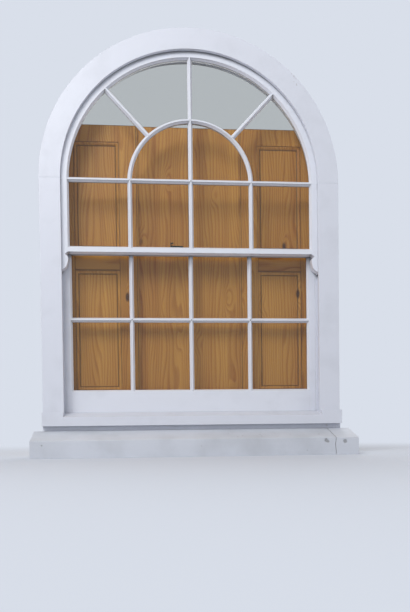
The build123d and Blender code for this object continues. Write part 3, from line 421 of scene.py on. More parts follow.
def pine(name, early, late, knot, patina_and_shade, ring, gloss):
    """Plain-sawn pine under old polish: soft growth rings drawn along each board, knots that push them aside,
    boards of different tone, and dark old polish and dust, with painted shade, where boards and mouldings meet."""
    material, tree, shader = new_material(name)
    # Rings wander over some 120 mm across and 900 mm along the board
    bend = board_grain(tree, (8, 8, 1.1), 2.0)
    # Knots 10 to 25 mm across, one or two to a metre
    places = board_place(tree, (6.5, 6.5, 2.9))
    spots = add_node(tree, "ShaderNodeTexVoronoi", {"Vector": places, "Scale": 1.0})
    pushed = add_node(
        tree,
        "ShaderNodeMapRange",
        {"Value": spots, "From Max": 0.3, "To Min": 1.0, "To Max": 0.0},
        interpolation_type="SMOOTHERSTEP",
    )
    across = add_node(tree, "ShaderNodeSeparateXYZ", {"Vector": board_place(tree, (1, 1, 1))})
    for push, far in ((bend, 0.16), (pushed, 0.035)):
        across = add_node(tree, "ShaderNodeMath", {0: push, 1: far, 2: across}, operation="MULTIPLY_ADD")
    rings = add_node(tree, "ShaderNodeMath", {0: across, 1: 1 / ring}, operation="MULTIPLY")
    share = add_node(tree, "ShaderNodeMath", {0: rings, 1: 1.0}, operation="MODULO")
    # Colour deepens through the ring, then drops within about a millimetre
    band = add_node(tree, "ShaderNodeFloatCurve", {"Value": share})
    curve = band.mapping.curves[0]
    for through, deepness in ((0.45, 0.12), (0.86, 0.9), (0.93, 0.75)):
        curve.points.new(through, deepness)
    curve.points[-1].location = (1.0, 0.0)
    band.mapping.update()
    # Fibres near 4 mm, streaks near 40 mm and the board's own tone, all far longer along it
    fibre = board_grain(tree, (260, 260, 5), 2.0)
    streak = board_grain(tree, (26, 26, 0.9), 2.0)
    tone = board_grain(tree, (3, 3, 0.7), 1.0)
    figure = add_node(tree, "ShaderNodeMath", {0: band, 1: 0.34}, operation="MULTIPLY")
    for part, weight in ((fibre, 0.22), (streak, 0.75), (tone, 0.55)):
        part = add_node(tree, "ShaderNodeMath", {0: part, 1: weight}, operation="MULTIPLY")
        figure = add_node(tree, "ShaderNodeMath", {0: figure, 1: part}, operation="ADD")
    depth = add_node(tree, "ShaderNodeMapRange", {"Value": figure, "From Min": 0.55, "From Max": 1.35})
    wood = add_node(
        tree, "ShaderNodeMix", {"Factor": depth, "A": (*early, 1), "B": (*late, 1)}, data_type="RGBA"
    )
    heart = add_node(tree, "ShaderNodeMapRange", {"Value": spots, "From Min": 0.085, "From Max": 0.045})
    knotted = add_node(
        tree, "ShaderNodeMix", {"Factor": heart, "A": wood, "B": (*knot, 1)}, data_type="RGBA"
    )
    # The distance from the nearest edge of the board, and from the quirk of a planted moulding
    rim = add_node(tree, "ShaderNodeAttribute", attribute_name="rim").outputs["Vector"]
    half = add_node(tree, "ShaderNodeAttribute", attribute_name="half").outputs["Vector"]
    out = add_node(tree, "ShaderNodeVectorMath", {0: rim}, operation="ABSOLUTE")
    left = add_node(tree, "ShaderNodeVectorMath", {0: half, 1: out}, operation="SUBTRACT")
    gap = add_node(tree, "ShaderNodeSeparateXYZ", {"Vector": left}).outputs
    edge = add_node(tree, "ShaderNodeMath", {0: gap["X"], 1: gap["Y"]}, operation="MINIMUM")
    past = add_node(tree, "ShaderNodeMath", {0: edge, 1: gap["Z"]}, operation="SUBTRACT")
    quirk = add_node(tree, "ShaderNodeMath", {0: past}, operation="ABSOLUTE")
    near = add_node(tree, "ShaderNodeMath", {0: edge, 1: quirk}, operation="MINIMUM")
    # Painted shade with old polish and dust: darker within some 4 mm of a board's edge and of a moulding's quirk
    stain_and_shade = add_node(
        tree,
        "ShaderNodeMapRange",
        {"Value": near, "From Min": 0.0012, "From Max": 0.0042, "To Min": 0.8, "To Max": 0.0},
        interpolation_type="SMOOTHSTEP",
    )
    # The darkening lies on the board's broad faces, not over its whole edge
    thin = add_node(tree, "ShaderNodeAttribute", attribute_name="thin").outputs["Vector"]
    normal = add_node(tree, "ShaderNodeTexCoord").outputs["Normal"]
    facing = add_node(tree, "ShaderNodeVectorMath", {0: thin, 1: normal}, operation="DOT_PRODUCT")
    broad = add_node(tree, "ShaderNodeMath", {0: facing}, operation="ABSOLUTE")
    stained_and_shaded = add_node(tree, "ShaderNodeMath", {0: stain_and_shade, 1: broad}, operation="MULTIPLY")
    aged_and_shaded = add_node(
        tree, "ShaderNodeMix", {"Factor": stained_and_shaded, "A": knotted, "B": (*patina_and_shade, 1)}, data_type="RGBA"
    )
    rough = add_node(
        tree, "ShaderNodeMapRange", {"Value": fibre, "To Min": gloss - 0.08, "To Max": gloss + 0.12}
    )
    relief = add_node(tree, "ShaderNodeBump", {"Strength": 0.25, "Distance": 0.0003, "Height": figure})
    feed(shader, {"Base Color": aged_and_shaded, "Roughness": rough, "Normal": relief})
    return material


def drawn_glass(name, tint, wave):
    """Drawn sheet glass: smoky, its faces rippled so that reflections bend from pane to pane. Lamps
    and scattered light pass it, so what stands behind is lit as if through an open window."""
    material, tree, shader = new_material(name)
    where = add_node(tree, "ShaderNodeTexCoord").outputs["Object"]
    ripple = add_node(tree, "ShaderNodeTexNoise", {"Vector": where, "Scale": 1 / wave, "Detail": 1.0})
    faces = add_node(tree, "ShaderNodeBump", {"Strength": 0.5, "Distance": 0.002, "Height": ripple})
    feed(shader, {"Base Color": (*tint, 1), "Transmission Weight": 1.0, "Roughness": 0.0, "IOR": 1.4})
    feed(shader, {"Normal": faces})
    ray = add_node(tree, "ShaderNodeLightPath").outputs
    lit = add_node(
        tree, "ShaderNodeMath", {0: ray["Is Shadow Ray"], 1: ray["Is Diffuse Ray"]}, operation="MAXIMUM"
    )
    clear = add_node(tree, "ShaderNodeBsdfTransparent", {"Color": (1, 1, 1, 1)})
    end = add_node(tree, "ShaderNodeMixShader", {0: lit, 1: shader, 2: clear})
    feed(tree.nodes["Material Output"], {"Surface": end})
    return material


def worked_metal(name, body, metallic, low, high, grain, depth):
    """Metal with an uneven shine: handling and tarnish vary its roughness, casting or wear its face."""
    material, tree, shader = new_material(name)
    where = add_node(tree, "ShaderNodeTexCoord").outputs["Object"]
    skin = add_node(tree, "ShaderNodeTexNoise", {"Vector": where, "Scale": grain, "Detail": 5.0})
    # Tarnish in spots near 25 mm
    wear = add_node(tree, "ShaderNodeTexNoise", {"Vector": where, "Scale": 40.0, "Detail": 4.0})
    dark = add_node(
        tree, "ShaderNodeMapRange", {"Value": wear, "From Min": 0.4, "From Max": 0.7, "To Max": 0.6}
    )
    tarnish = [c * 0.45 for c in body]
    tone = add_node(
        tree, "ShaderNodeMix", {"Factor": dark, "A": (*body, 1), "B": (*tarnish, 1)}, data_type="RGBA"
    )
    rough = add_node(tree, "ShaderNodeMapRange", {"Value": wear, "To Min": low, "To Max": high})
    relief = add_node(tree, "ShaderNodeBump", {"Strength": 0.5, "Distance": depth, "Height": skin})
    feed(shader, {"Base Color": tone, "Roughness": rough, "Normal": relief, "Metallic": metallic})
    return material


def braided_cord(name, body):
    """Waxed cotton: diagonal plaits about 2 mm wide, read from the cord's own UV map."""
    material, tree, shader = new_material(name)
    where = add_node(tree, "ShaderNodeTexCoord").outputs["UV"]
    strands = []
    for turn in (1, -1):
        slanted = add_node(
            tree, "ShaderNodeMapping", {"Vector": where, "Rotation": (0, 0, turn * radians(45))}
        )
        strand = {"Vector": slanted, "Scale": 80.0}
        strands.append(add_node(tree, "ShaderNodeTexWave", strand, wave_profile="SIN").outputs["Fac"])
    plait = add_node(tree, "ShaderNodeMath", dict(enumerate(strands)), operation="MAXIMUM")
    between = [c * 0.55 for c in body]
    tone = add_node(
        tree, "ShaderNodeMix", {"Factor": plait, "A": (*between, 1), "B": (*body, 1)}, data_type="RGBA"
    )
    relief = add_node(tree, "ShaderNodeBump", {"Strength": 0.8, "Distance": 0.0006, "Height": plait})
    feed(shader, {"Base Color": tone, "Normal": relief, "Roughness": 0.75})
    return material


FINISH = {}


class SASH_OT_finishes(bpy.types.Operator):
    """Make the window's paints, woods, metals and glass"""

    bl_idname = "sash.finishes"
    bl_label = "Finishes"

    def execute(self, context):
        settings = context.scene.sash_window
        paint, timber, metal, glass = settings.paint, settings.timber, settings.metal, settings.glass
        FINISH["sash_paint"] = oil_gloss("oil gloss, sashes", paint.sash, paint)
        FINISH["putty_paint"] = oil_gloss("oil gloss, putty", paint.sash, paint)
        FINISH["frame_paint"] = oil_gloss("oil gloss, frame", paint.frame, paint)
        FINISH["stone_paint"] = masonry_paint("masonry paint", paint)
        shutter = timber.early, timber.late, timber.knot, timber.patina_and_shade
        for slot in ("pine_shutter", "pine_panel"):
            FINISH[slot] = pine("polished pine, " + slot, *shutter, timber.ring, 0.42)
        # The box's darkest tone is its painted shade and dirt in quirks and joints
        darker, dirt_and_shade = ([c * share for c in timber.bare] for share in (0.75, 0.6))
        box = timber.bare, darker, timber.knot, dirt_and_shade
        FINISH["box_softwood"] = pine("sawn softwood", *box, timber.ring, 0.8)
        FINISH["window_glass"] = drawn_glass("drawn sheet glass", glass.tint, glass.wave)
        # Sand-cast iron shows a grain near 1 mm, brushed enamel 4 mm, brass and pressed steel 2 mm
        FINISH["cast_iron"] = worked_metal("cast iron", metal.iron, 0.7, 0.6, 0.85, 900, 0.0006)
        FINISH["aged_brass"] = worked_metal("brass", metal.brass, 1.0, 0.25, 0.5, 500, 0.0001)
        FINISH["black_fitting"] = worked_metal("black japan", metal.japan, 0.0, 0.2, 0.4, 250, 0.0002)
        FINISH["steel_butt"] = worked_metal("pressed steel", metal.steel, 1.0, 0.3, 0.55, 500, 0.0001)
        FINISH["waxed_cord"] = braided_cord("waxed cotton cord", metal.cord)
        for name, node in NODES.items():
            node.data.materials.clear()
            node.data.materials.append(FINISH[SLOT_OF[name]])
        return {"FINISHED"}


def link(obj):
    """Puts an object in the scene."""
    bpy.context.scene.collection.objects.link(obj)
    return obj


def piece_from(bm, name, slot):
    """An object of its own from a mesh under work, in the finish of its slot."""
    mesh = bpy.data.meshes.new(name)
    bm.to_mesh(mesh)
    bm.free()
    mesh.materials.append(FINISH[slot])
    obj = link(bpy.data.objects.new(name, mesh))
    return obj


def stand_for(obj, name):
    """The piece takes over from this node and rides on its body."""
    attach(obj, BODY_OF[name])
    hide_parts(name)


def round_arrises(obj, width, segments):
    """Rounds the sharp edges of a piece."""
    bevel = obj.modifiers.new("Arris", "BEVEL")
    bevel.width = width
    bevel.segments = segments
    bevel.limit_method = "ANGLE"
    bevel.angle_limit = SHARP
    bevel.harden_normals = True


def islands(bm):
    """The separate solids of a mesh, each as a list of vertices."""
    seen, groups = set(), []
    for start in bm.verts:
        if start in seen:
            continue
        group, waiting = [], [start]
        seen.add(start)
        while waiting:
            vert = waiting.pop()
            group.append(vert)
            for edge in vert.link_edges:
                other = edge.other_vert(vert)
                if other not in seen:
                    seen.add(other)
                    waiting.append(other)
        groups.append(group)
    return groups


def lay_boards(bm, name, arched, moulding):
    """Stores where each vertex lies across and along its own board, how far it is from the board's
    middle, and which way the board is thin. Arched pieces run round the springing centre."""
    board, rim, half, thin = (
        bm.verts.layers.float_vector.new(layer) for layer in ("board", "rim", "half", "thin")
    )
    dice = Random(name)
    for group in islands(bm):
        low = Vector([min(v.co[i] for v in group) for i in range(3)])
        high = Vector([max(v.co[i] for v in group) for i in range(3)])
        size, middle = high - low, (low + high) / 2
        shift = Vector([dice.uniform(0, 40) for _ in range(3)])
        longest = max(range(3), key=lambda i: size[i])
        others = [i for i in range(3) if i != longest]
        # The board's face is its two longer sides
        depth, wide, tall = sorted(range(3), key=lambda i: size[i])
        bent = arched and size.z > 0.2 and size.x > 0.5
        for v in group:
            if bent:
                x, z = v.co.x, v.co.z - SPRINGING
                place = Vector((sqrt(x * x + z * z), v.co.y, HEAD_OUTER * atan2(z, x)))
            else:
                place = Vector([v.co[i] for i in (*others, longest)])
            v[board] = place + shift
            v[rim] = (v.co[wide] - middle[wide], v.co[tall] - middle[tall], 0)
            v[half] = (size[wide] / 2, size[tall] / 2, moulding)
            v[thin] = [float(i == depth) for i in range(3)]


def soften(name, arris, arched=False, trims=(), moulding=1.0, segments=2):
    """Makes a copy of a CAD node with its triangles merged and its arrises rounded by the finish.
    Trims are the corners of thin strips that are planted on it. A moulding runs this far in from a
    board's edges, and a metre means that there is none."""
    bm = bmesh.new()
    bm.from_mesh(NODES[name].data)
    bmesh.ops.remove_doubles(bm, verts=bm.verts, dist=1e-6)
    bmesh.ops.dissolve_limit(bm, angle_limit=radians(0.4), verts=bm.verts, edges=bm.edges)
    for low, high in trims:
        for v in bmesh.ops.create_cube(bm, size=1)["verts"]:
            v.co = [low[i] + (high[i] - low[i]) * (v.co[i] + 0.5) for i in range(3)]
    for face in bm.faces:
        face.smooth = True
    for edge in bm.edges:
        edge.smooth = edge.calc_face_angle(0) < SHARP
    lay_boards(bm, name, arched, moulding)
    obj = piece_from(bm, name + "_finished", SLOT_OF[name])
    if arris:
        round_arrises(obj, arris, segments)
    stand_for(obj, name)


class SASH_OT_frame(bpy.types.Operator):
    """Finish the linings, beads, arched head and timber sill of the box frame"""

    bl_idname = "sash.frame"
    bl_label = "Box frame"

    def execute(self, context):
        paint = context.scene.sash_window.paint
        for name in ("timber_sill", "pocket_pieces", "back_linings", "parting_slips", "head_blocks"):
            soften(name, paint.arris)
        for name, _ in SIDES:
            for part in ("pulley_stile", "outer_lining", "inner_lining"):
                soften(f"{part}_{name}", paint.arris)
        for name in ("outer_arch_lining", "inner_arch_lining", "head_board"):
            soften(name, paint.arris, arched=True)
        for name in ("parting_beads", "staff_beads"):
            soften(name, paint.fine_arris, arched=True)
        return {"FINISHED"}


class SASH_OT_sashes(bpy.types.Operator):
    """Finish the stiles, rails and arched head of both sashes"""

    bl_idname = "sash.sashes"
    bl_label = "Sashes"

    def execute(self, context):
        arris = context.scene.sash_window.paint.fine_arris
        for sash in ("upper", "lower"):
            for part in ("stile_left", "stile_right", "meeting_rail"):
                soften(f"{sash}_{part}", arris)
            soften(f"{sash}_putty", 0)
        soften("bottom_rail", arris)
        soften("upper_sash_head", arris, arched=True)
        return {"FINISHED"}


def bar_outline(bars):
    """Outline of a glazing bar's section as points: across the bar, and depth from the street face."""
    half, nose = bars.width / 2, bars.nose / 2
    start = bars.seat + bars.square
    points = [
        (half - bars.rebate, 0),
        (half - bars.rebate, bars.seat),
        (half, bars.seat),
        (half, start),
        (half - bars.quirk, start),
    ]
    # The ovolo leaves its quirk square to the glass and ends against the nose
    width = half - bars.quirk - nose
    steps = 7
    for i in range(1, steps + 1):
        turn = pi / 2 * i / steps
        points.append((half - bars.quirk - width * (1 - cos(turn)), start + bars.mould * sin(turn)))
    points.append((nose, bars.depth))
    return points + [(-x, y) for x, y in reversed(points)]


def outline_object(name, points):
    """A closed outline as an object that a modifier can work on. Its x is depth and its y across."""
    mesh = bpy.data.meshes.new(name)
    count = len(points)
    closed = [(i, (i + 1) % count) for i in range(count)]
    mesh.from_pydata([(depth, across, 0) for across, depth in points], closed, [])
    return link(bpy.data.objects.new(name, mesh))


def new_geometry_tree(name, sizes):
    """A geometry tree with a geometry, its named sizes and a material as inputs, and its input node."""
    tree = bpy.data.node_groups.new(name, "GeometryNodeTree")
    tree.interface.new_socket("Geometry", in_out="INPUT", socket_type="NodeSocketGeometry")
    for label, value in sizes.items():
        kind = "NodeSocketInt" if isinstance(value, int) else "NodeSocketFloat"
        socket = tree.interface.new_socket(label, in_out="INPUT", socket_type=kind)
        socket.default_value = value
    tree.interface.new_socket("Material", in_out="INPUT", socket_type="NodeSocketMaterial")
    tree.interface.new_socket("Geometry", in_out="OUTPUT", socket_type="NodeSocketGeometry")
    return tree, add_node(tree, "NodeGroupInput").outputs


def close_tree(tree, geometry, given):
    """Ends a tree: instances made real, and the material set."""
    real = add_node(tree, "GeometryNodeRealizeInstances", {"Geometry": geometry})
    worn = add_node(
        tree, "GeometryNodeSetMaterial", {"Geometry": real, "Material": given["Material"]}
    )
    add_node(tree, "NodeGroupOutput", {"Geometry": worn})


def grown(obj, tree, name, slot, **sizes):
    """The plain mesh that a tree makes from an object, as an object of its own with its faces turned
    outwards, in the finish of its slot."""
    values = {"Material": FINISH[slot], **sizes}
    modifier = obj.modifiers.new(tree.name, "NODES")
    modifier.node_group = tree
    for item in tree.interface.items_tree:
        if item.in_out == "INPUT" and item.name in values:
            modifier[item.identifier] = values[item.name]
    graph = bpy.context.evaluated_depsgraph_get()
    mesh = bpy.data.meshes.new_from_object(obj.evaluated_get(graph), depsgraph=graph)
    bpy.data.objects.remove(obj)
    mesh.name = name
    bm = bmesh.new()
    bm.from_mesh(mesh)
    bmesh.ops.recalc_face_normals(bm, faces=bm.faces)
    bm.to_mesh(mesh)
    bm.free()
    made = link(bpy.data.objects.new(name, mesh))
    return made


def bar_paths(tree, ends):
    """Straight paths, each between two places in the plane of a sash."""
    paths = []
    for pair in ends:
        start, end = (add_node(tree, "ShaderNodeCombineXYZ", dict(enumerate(place))) for place in pair)
        paths.append(add_node(tree, "GeometryNodeCurvePrimitiveLine", {"Start": start, "End": end}))
    return paths


def swept(tree, outline, paths):
    """Bars along paths that lie in the plane of the sash. Each keeps its place along and across
    itself for the brush marks."""
    together = add_node(tree, "GeometryNodeJoinGeometry", {0: paths})
    aligned = add_node(
        tree, "GeometryNodeSetCurveNormal", {"Curve": together, "Normal": (0, 1, 0)}, mode="FREE"
    )
    run = add_node(tree, "GeometryNodeSplineParameter").outputs["Length"]
    paths_along = add_node(
        tree, "GeometryNodeStoreNamedAttribute", {"Geometry": aligned, "Name": "along", "Value": run}
    )
    section = add_node(tree, "GeometryNodeMeshToCurve", {"Mesh": outline})
    here = add_node(tree, "GeometryNodeInputPosition")
    section_across = add_node(
        tree,
        "GeometryNodeStoreNamedAttribute",
        {"Geometry": section, "Name": "across", "Value": here},
        data_type="FLOAT_VECTOR",
    )
    bars = add_node(
        tree,
        "GeometryNodeCurveToMesh",
        {"Curve": paths_along, "Profile Curve": section_across, "Fill Caps": True},
    )
    across = add_node(
        tree, "GeometryNodeInputNamedAttribute", {"Name": "across"}, data_type="FLOAT_VECTOR"
    )
    along = add_node(tree, "GeometryNodeInputNamedAttribute", {"Name": "along"}, data_type="FLOAT")
    split = add_node(tree, "ShaderNodeSeparateXYZ", {0: across}).outputs
    board = add_node(tree, "ShaderNodeCombineXYZ", {0: split["X"], 1: split["Y"], 2: along})
    laid = add_node(
        tree,
        "GeometryNodeStoreNamedAttribute",
        {"Geometry": bars, "Name": "board", "Value": board},
        data_type="FLOAT_VECTOR",
    )
    angle = add_node(tree, "GeometryNodeInputMeshEdgeAngle").outputs["Unsigned Angle"]
    sharp = add_node(
        tree, "FunctionNodeCompare", {"A": angle, "B": SHARP}, data_type="FLOAT", operation="GREATER_THAN"
    )
    return add_node(
        tree,
        "GeometryNodeSetShadeSmooth",
        {"Geometry": laid, "Selection": sharp, "Shade Smooth": False},
        domain="EDGE",
    )


def upper_bar_tree(bars):
    """The fan of the upper sash: three uprights, the springing bar, the inner arch and two rays."""
    sizes = {
        "Foot": UPPER_FOOT,
        "Springing": SPRINGING,
        "Springing Bar": bars.rise,
        "Side Bar": bars.side,
        "Glass Radius": bars.sight,
        "Fan Angle": bars.fan,
        "Into Rebate": bars.rebate,
        "Arch Steps": 72,
    }
    tree, given = new_geometry_tree("fan_of_glazing_bars", sizes)
    springing, side, into = given["Springing"], given["Side Bar"], given["Into Rebate"]
    low = add_node(tree, "ShaderNodeMath", {0: given["Foot"], 1: into}, operation="SUBTRACT")
    reach = add_node(tree, "ShaderNodeMath", {0: given["Glass Radius"], 1: into}, operation="ADD")
    crown = add_node(tree, "ShaderNodeMath", {0: springing, 1: reach}, operation="ADD")
    bar = add_node(tree, "ShaderNodeMath", {0: springing, 1: given["Springing Bar"]}, operation="ADD")
    minus_side, minus_reach, minus_fan = (
        add_node(tree, "ShaderNodeMath", {0: size, 1: -1.0}, operation="MULTIPLY")
        for size in (side, reach, given["Fan Angle"])
    )
    far_fan = add_node(tree, "ShaderNodeMath", {0: given["Fan Angle"], 1: pi}, operation="SUBTRACT")
    *paths, ray = bar_paths(
        tree,
        (
            ((0, 0, low), (0, 0, crown)),
            ((minus_reach, 0, bar), (reach, 0, bar)),
            ((side, 0, low), (side, 0, springing)),
            ((minus_side, 0, low), (minus_side, 0, springing)),
            ((side, 0, 0), (reach, 0, 0)),
        ),
    )
    arc = add_node(
        tree,
        "GeometryNodeCurveArc",
        {"Resolution": given["Arch Steps"], "Radius": side, "Start Angle": 0.0, "Sweep Angle": pi},
        mode="RADIUS",
    )
    # The inner arch stands up on the springing line, and the rays turn about its centre
    centre = add_node(tree, "ShaderNodeCombineXYZ", {2: springing})
    for path, turn in ((arc, {0: pi / 2}), (ray, {1: minus_fan}), (ray, {1: far_fan})):
        euler = add_node(tree, "ShaderNodeCombineXYZ", turn)
        turned = add_node(tree, "FunctionNodeEulerToRotation", {0: euler})
        placed = {"Geometry": path, "Translation": centre, "Rotation": turned}
        paths.append(add_node(tree, "GeometryNodeTransform", placed))
    close_tree(tree, swept(tree, given["Geometry"], paths), given)
    return tree


def lower_bar_tree(bars):
    """The grid of the lower sash: three uprights and a cross bar."""
    sizes = {
        "Street Face": LOWER_FACE,
        "Foot": LOWER_FOOT,
        "Head": LOWER_HEAD,
        "Side Bar": bars.lower_side,
        "Cross Bar": bars.cross,
        "Half Length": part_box("lower_glazing_bars")[1][0],
        "Into Rebate": bars.rebate,
    }
    tree, given = new_geometry_tree("grid_of_glazing_bars", sizes)
    face, cross, into = given["Street Face"], given["Cross Bar"], given["Into Rebate"]
    low = add_node(tree, "ShaderNodeMath", {0: given["Foot"], 1: into}, operation="SUBTRACT")
    high = add_node(tree, "ShaderNodeMath", {0: given["Head"], 1: into}, operation="ADD")
    side, half = given["Side Bar"], given["Half Length"]
    minus_side, minus_half = (
        add_node(tree, "ShaderNodeMath", {0: size, 1: -1.0}, operation="MULTIPLY") for size in (side, half)
    )
    paths = bar_paths(
        tree,
        (
            ((0, face, low), (0, face, high)),
            ((minus_half, face, cross), (half, face, cross)),
            ((side, face, low), (side, face, high)),
            ((minus_side, face, low), (minus_side, face, high)),
        ),
    )
    close_tree(tree, swept(tree, given["Geometry"], paths), given)
    return tree


class SASH_OT_bars(bpy.types.Operator):
    """Sweep the moulded glazing bars of both sashes"""

    bl_idname = "sash.bars"
    bl_label = "Glazing bars"

    def execute(self, context):
        settings = context.scene.sash_window
        bars = settings.bars
        for sash, tree in (("upper", upper_bar_tree(bars)), ("lower", lower_bar_tree(bars))):
            outline = outline_object(f"{sash}_bar_section", bar_outline(bars))
            made = grown(outline, tree, f"{sash}_bars_moulded", "sash_paint")
            round_arrises(made, settings.paint.fine_arris, 1)
            stand_for(made, f"{sash}_glazing_bars")
        return {"FINISHED"}


class SASH_OT_stone(bpy.types.Operator):
    """Weather the painted stone sill"""

    bl_idname = "sash.stone"
    bl_label = "Stone sill"

    def execute(self, context):
        soften("stone_sill", context.scene.sash_window.paint.stone_arris, segments=3)
        return {"FINISHED"}


class SASH_OT_shutters(bpy.types.Operator):
    """Finish the folding shutters"""

    bl_idname = "sash.shutters"
    bl_label = "Shutters"

    def execute(self, context):
        timber = context.scene.sash_window.timber
        for name, side in SIDES:
            for part in ("shutter_post", "shutter_flap"):
                soften(f"{part}_{name}", timber.arris)
            soften(f"leaf_panels_{name}", timber.arris, moulding=timber.panel_quirk)
            # A lip on the leaf covers its joint with the flap
            low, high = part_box(f"leaf_frame_{name}")
            edge = min(abs(low[0]), abs(high[0]))
            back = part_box(f"shutter_flap_{name}")[0][1] - timber.lip_clearance
            ends = sorted((side * edge, side * (edge - timber.lip)))
            strip = (ends[0], low[1], low[2]), (ends[1], back, high[2])
            soften(f"leaf_frame_{name}", timber.arris, trims=[strip])
        return {"FINISHED"}


class SASH_OT_ironmongery(bpy.types.Operator):
    """Finish pulleys, weights, fastener, lifts and butts"""

    bl_idname = "sash.ironmongery"
    bl_label = "Ironmongery"

    def execute(self, context):
        metal = context.scene.sash_window.metal
        for name in ("fastener_base", "fastener_lever", "fastener_keep", "sash_lifts"):
            soften(name, metal.fitting_arris)
        for name in ("post_butts", "pulley_cases"):
            soften(name, metal.sheet_arris)
        for side, _ in SIDES:
            for shutter in ("leaf", "flap"):
                soften(f"{shutter}_butts_{side}", metal.sheet_arris)
            for sash in ("upper", "lower"):
                soften(f"pulley_wheel_{sash}_{side}", metal.wheel_arris)
        for sash in ("upper", "lower"):
            soften(f"{sash}_sash_weights", metal.weight_arris)
        return {"FINISHED"}


def screw_tree(size, seed):
    """Slotted screw heads on points that know which way they face, each slot turned at random."""
    sizes = {"Head Radius": size, "Seed": seed, "Sides": 16}
    tree, given = new_geometry_tree("slotted_screws", sizes)
    # Thickness of the head, and length and width of its slot, as shares of its radius
    height, long, narrow = (
        add_node(tree, "ShaderNodeMath", {0: given["Head Radius"], 1: share}, operation="MULTIPLY")
        for share in (0.35, 2.4, 0.28)
    )
    head = add_node(
        tree,
        "GeometryNodeMeshCylinder",
        {"Vertices": given["Sides"], "Radius": given["Head Radius"], "Depth": height},
    )
    blade = add_node(tree, "ShaderNodeCombineXYZ", {0: long, 1: narrow, 2: height})
    cutter = add_node(tree, "GeometryNodeMeshCube", {"Size": blade})
    rise = add_node(tree, "ShaderNodeMath", {0: height, 1: 0.65}, operation="MULTIPLY")
    over = add_node(tree, "ShaderNodeCombineXYZ", {2: rise})
    raised = add_node(tree, "GeometryNodeTransform", {"Geometry": cutter, "Translation": over})
    slotted = add_node(tree, "GeometryNodeMeshBoolean", {0: head, 1: raised}, operation="DIFFERENCE")
    facing = add_node(
        tree, "GeometryNodeInputNamedAttribute", {"Name": "facing"}, data_type="FLOAT_VECTOR"
    )
    toward = add_node(tree, "FunctionNodeAlignRotationToVector", {"Vector": facing}, axis="Z")
    chance = add_node(
        tree, "FunctionNodeRandomValue", {"Min": 0.0, "Max": pi, "Seed": given["Seed"]}, data_type="FLOAT"
    )
    about = add_node(tree, "ShaderNodeCombineXYZ", {2: chance})
    spin = add_node(tree, "FunctionNodeEulerToRotation", {0: about})
    turned = add_node(
        tree, "FunctionNodeRotateRotation", {"Rotation": toward, "Rotate By": spin}, rotation_space="LOCAL"
    )
    spots = add_node(tree, "GeometryNodeMeshToPoints", {"Mesh": given["Geometry"]})
    heads = add_node(
        tree, "GeometryNodeInstanceOnPoints", {"Points": spots, "Instance": slotted, "Rotation": turned}
    )
    close_tree(tree, heads, given)
    return tree


def screw_places():
    """Screws by body and finish: (place, direction that the head faces)."""
    room, up = Vector((0, 1, 0)), Vector((0, 0, 1))
    places = {}

    def put(body, slot, place, facing):
        places.setdefault((body, slot), []).append((Vector(place), facing))

    stile_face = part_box("pulley_stile_right")[0][0]
    for name, joint in JOINT.items():
        if name.startswith("pulley"):
            x, y, z = joint["pos_m"]
            side = 1 if x > 0 else -1
            for rise in (-FACEPLATE_SCREW_RISE, FACEPLATE_SCREW_RISE):
                place = (side * stile_face, y, z + rise)
                put("root", "aged_brass", place, Vector((-side, 0, 0)))
    (left, near, foot), (right, far, _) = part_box("fastener_base")
    for x in (left + FASTENER_SCREW_INSET, right - FASTENER_SCREW_INSET):
        put("lower_sash", "black_fitting", (x, (near + far) / 2, foot + FASTENER_PLATE), up)
    (_, near, foot), (right, far, _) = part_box("fastener_keep")
    place = (right - KEEP_SCREW_INSET, (near + far) / 2, foot + FASTENER_PLATE)
    put("upper_sash", "black_fitting", place, up)
    (_, near, foot), (right, _, head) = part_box("sash_lifts")
    for side in (-1, 1):
        for off in (-LIFT_SCREW_SPREAD, LIFT_SCREW_SPREAD):
            x = side * (right - LIFT_MIDDLE_INSET) + off
            put("lower_sash", "aged_brass", (x, near + LIFT_PLATE, (foot + head) / 2), room)
    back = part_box("post_butts")[0][1] + BUTT_LEAF
    for share in BUTT_HEIGHTS:
        height = SHUTTER_FOOT + share * (SHUTTER_HEAD - SHUTTER_FOOT)
        for rise in BUTT_SCREW_RISES:
            for name, side in SIDES:
                leaf, flap = f"leaf_{name}", f"flap_{name}"
                for outer, inner in (("root", leaf), (leaf, flap)):
                    pin = abs(JOINT[f"{inner}_hinge"]["pos_m"][0])
                    for body, out in ((outer, BUTT_SCREW_OUT), (inner, -BUTT_SCREW_OUT)):
                        put(body, "steel_butt", (side * (pin + out), back, height + rise), room)
    return places


class SASH_OT_screws(bpy.types.Operator):
    """Set slotted screws in every fitting"""

    bl_idname = "sash.screws"
    bl_label = "Screws"

    def execute(self, context):
        metal = context.scene.sash_window.metal
        tree = screw_tree(metal.screw, metal.seed)
        for (body, slot), spots in screw_places().items():
            name = f"screws_{body}_{slot}"
            mesh = bpy.data.meshes.new(name + "_places")
            mesh.from_pydata([place for place, _ in spots], [], [])
            facing = mesh.attributes.new("facing", "FLOAT_VECTOR", "POINT")
            facing.data.foreach_set("vector", [c for _, f in spots for c in f])
            holder = link(bpy.data.objects.new(name + "_places", mesh))
            sizes = {"Head Radius": metal.screw * SCREW_SHARE[slot]}
            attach(grown(holder, tree, name, slot, **sizes), body)
        return {"FINISHED"}


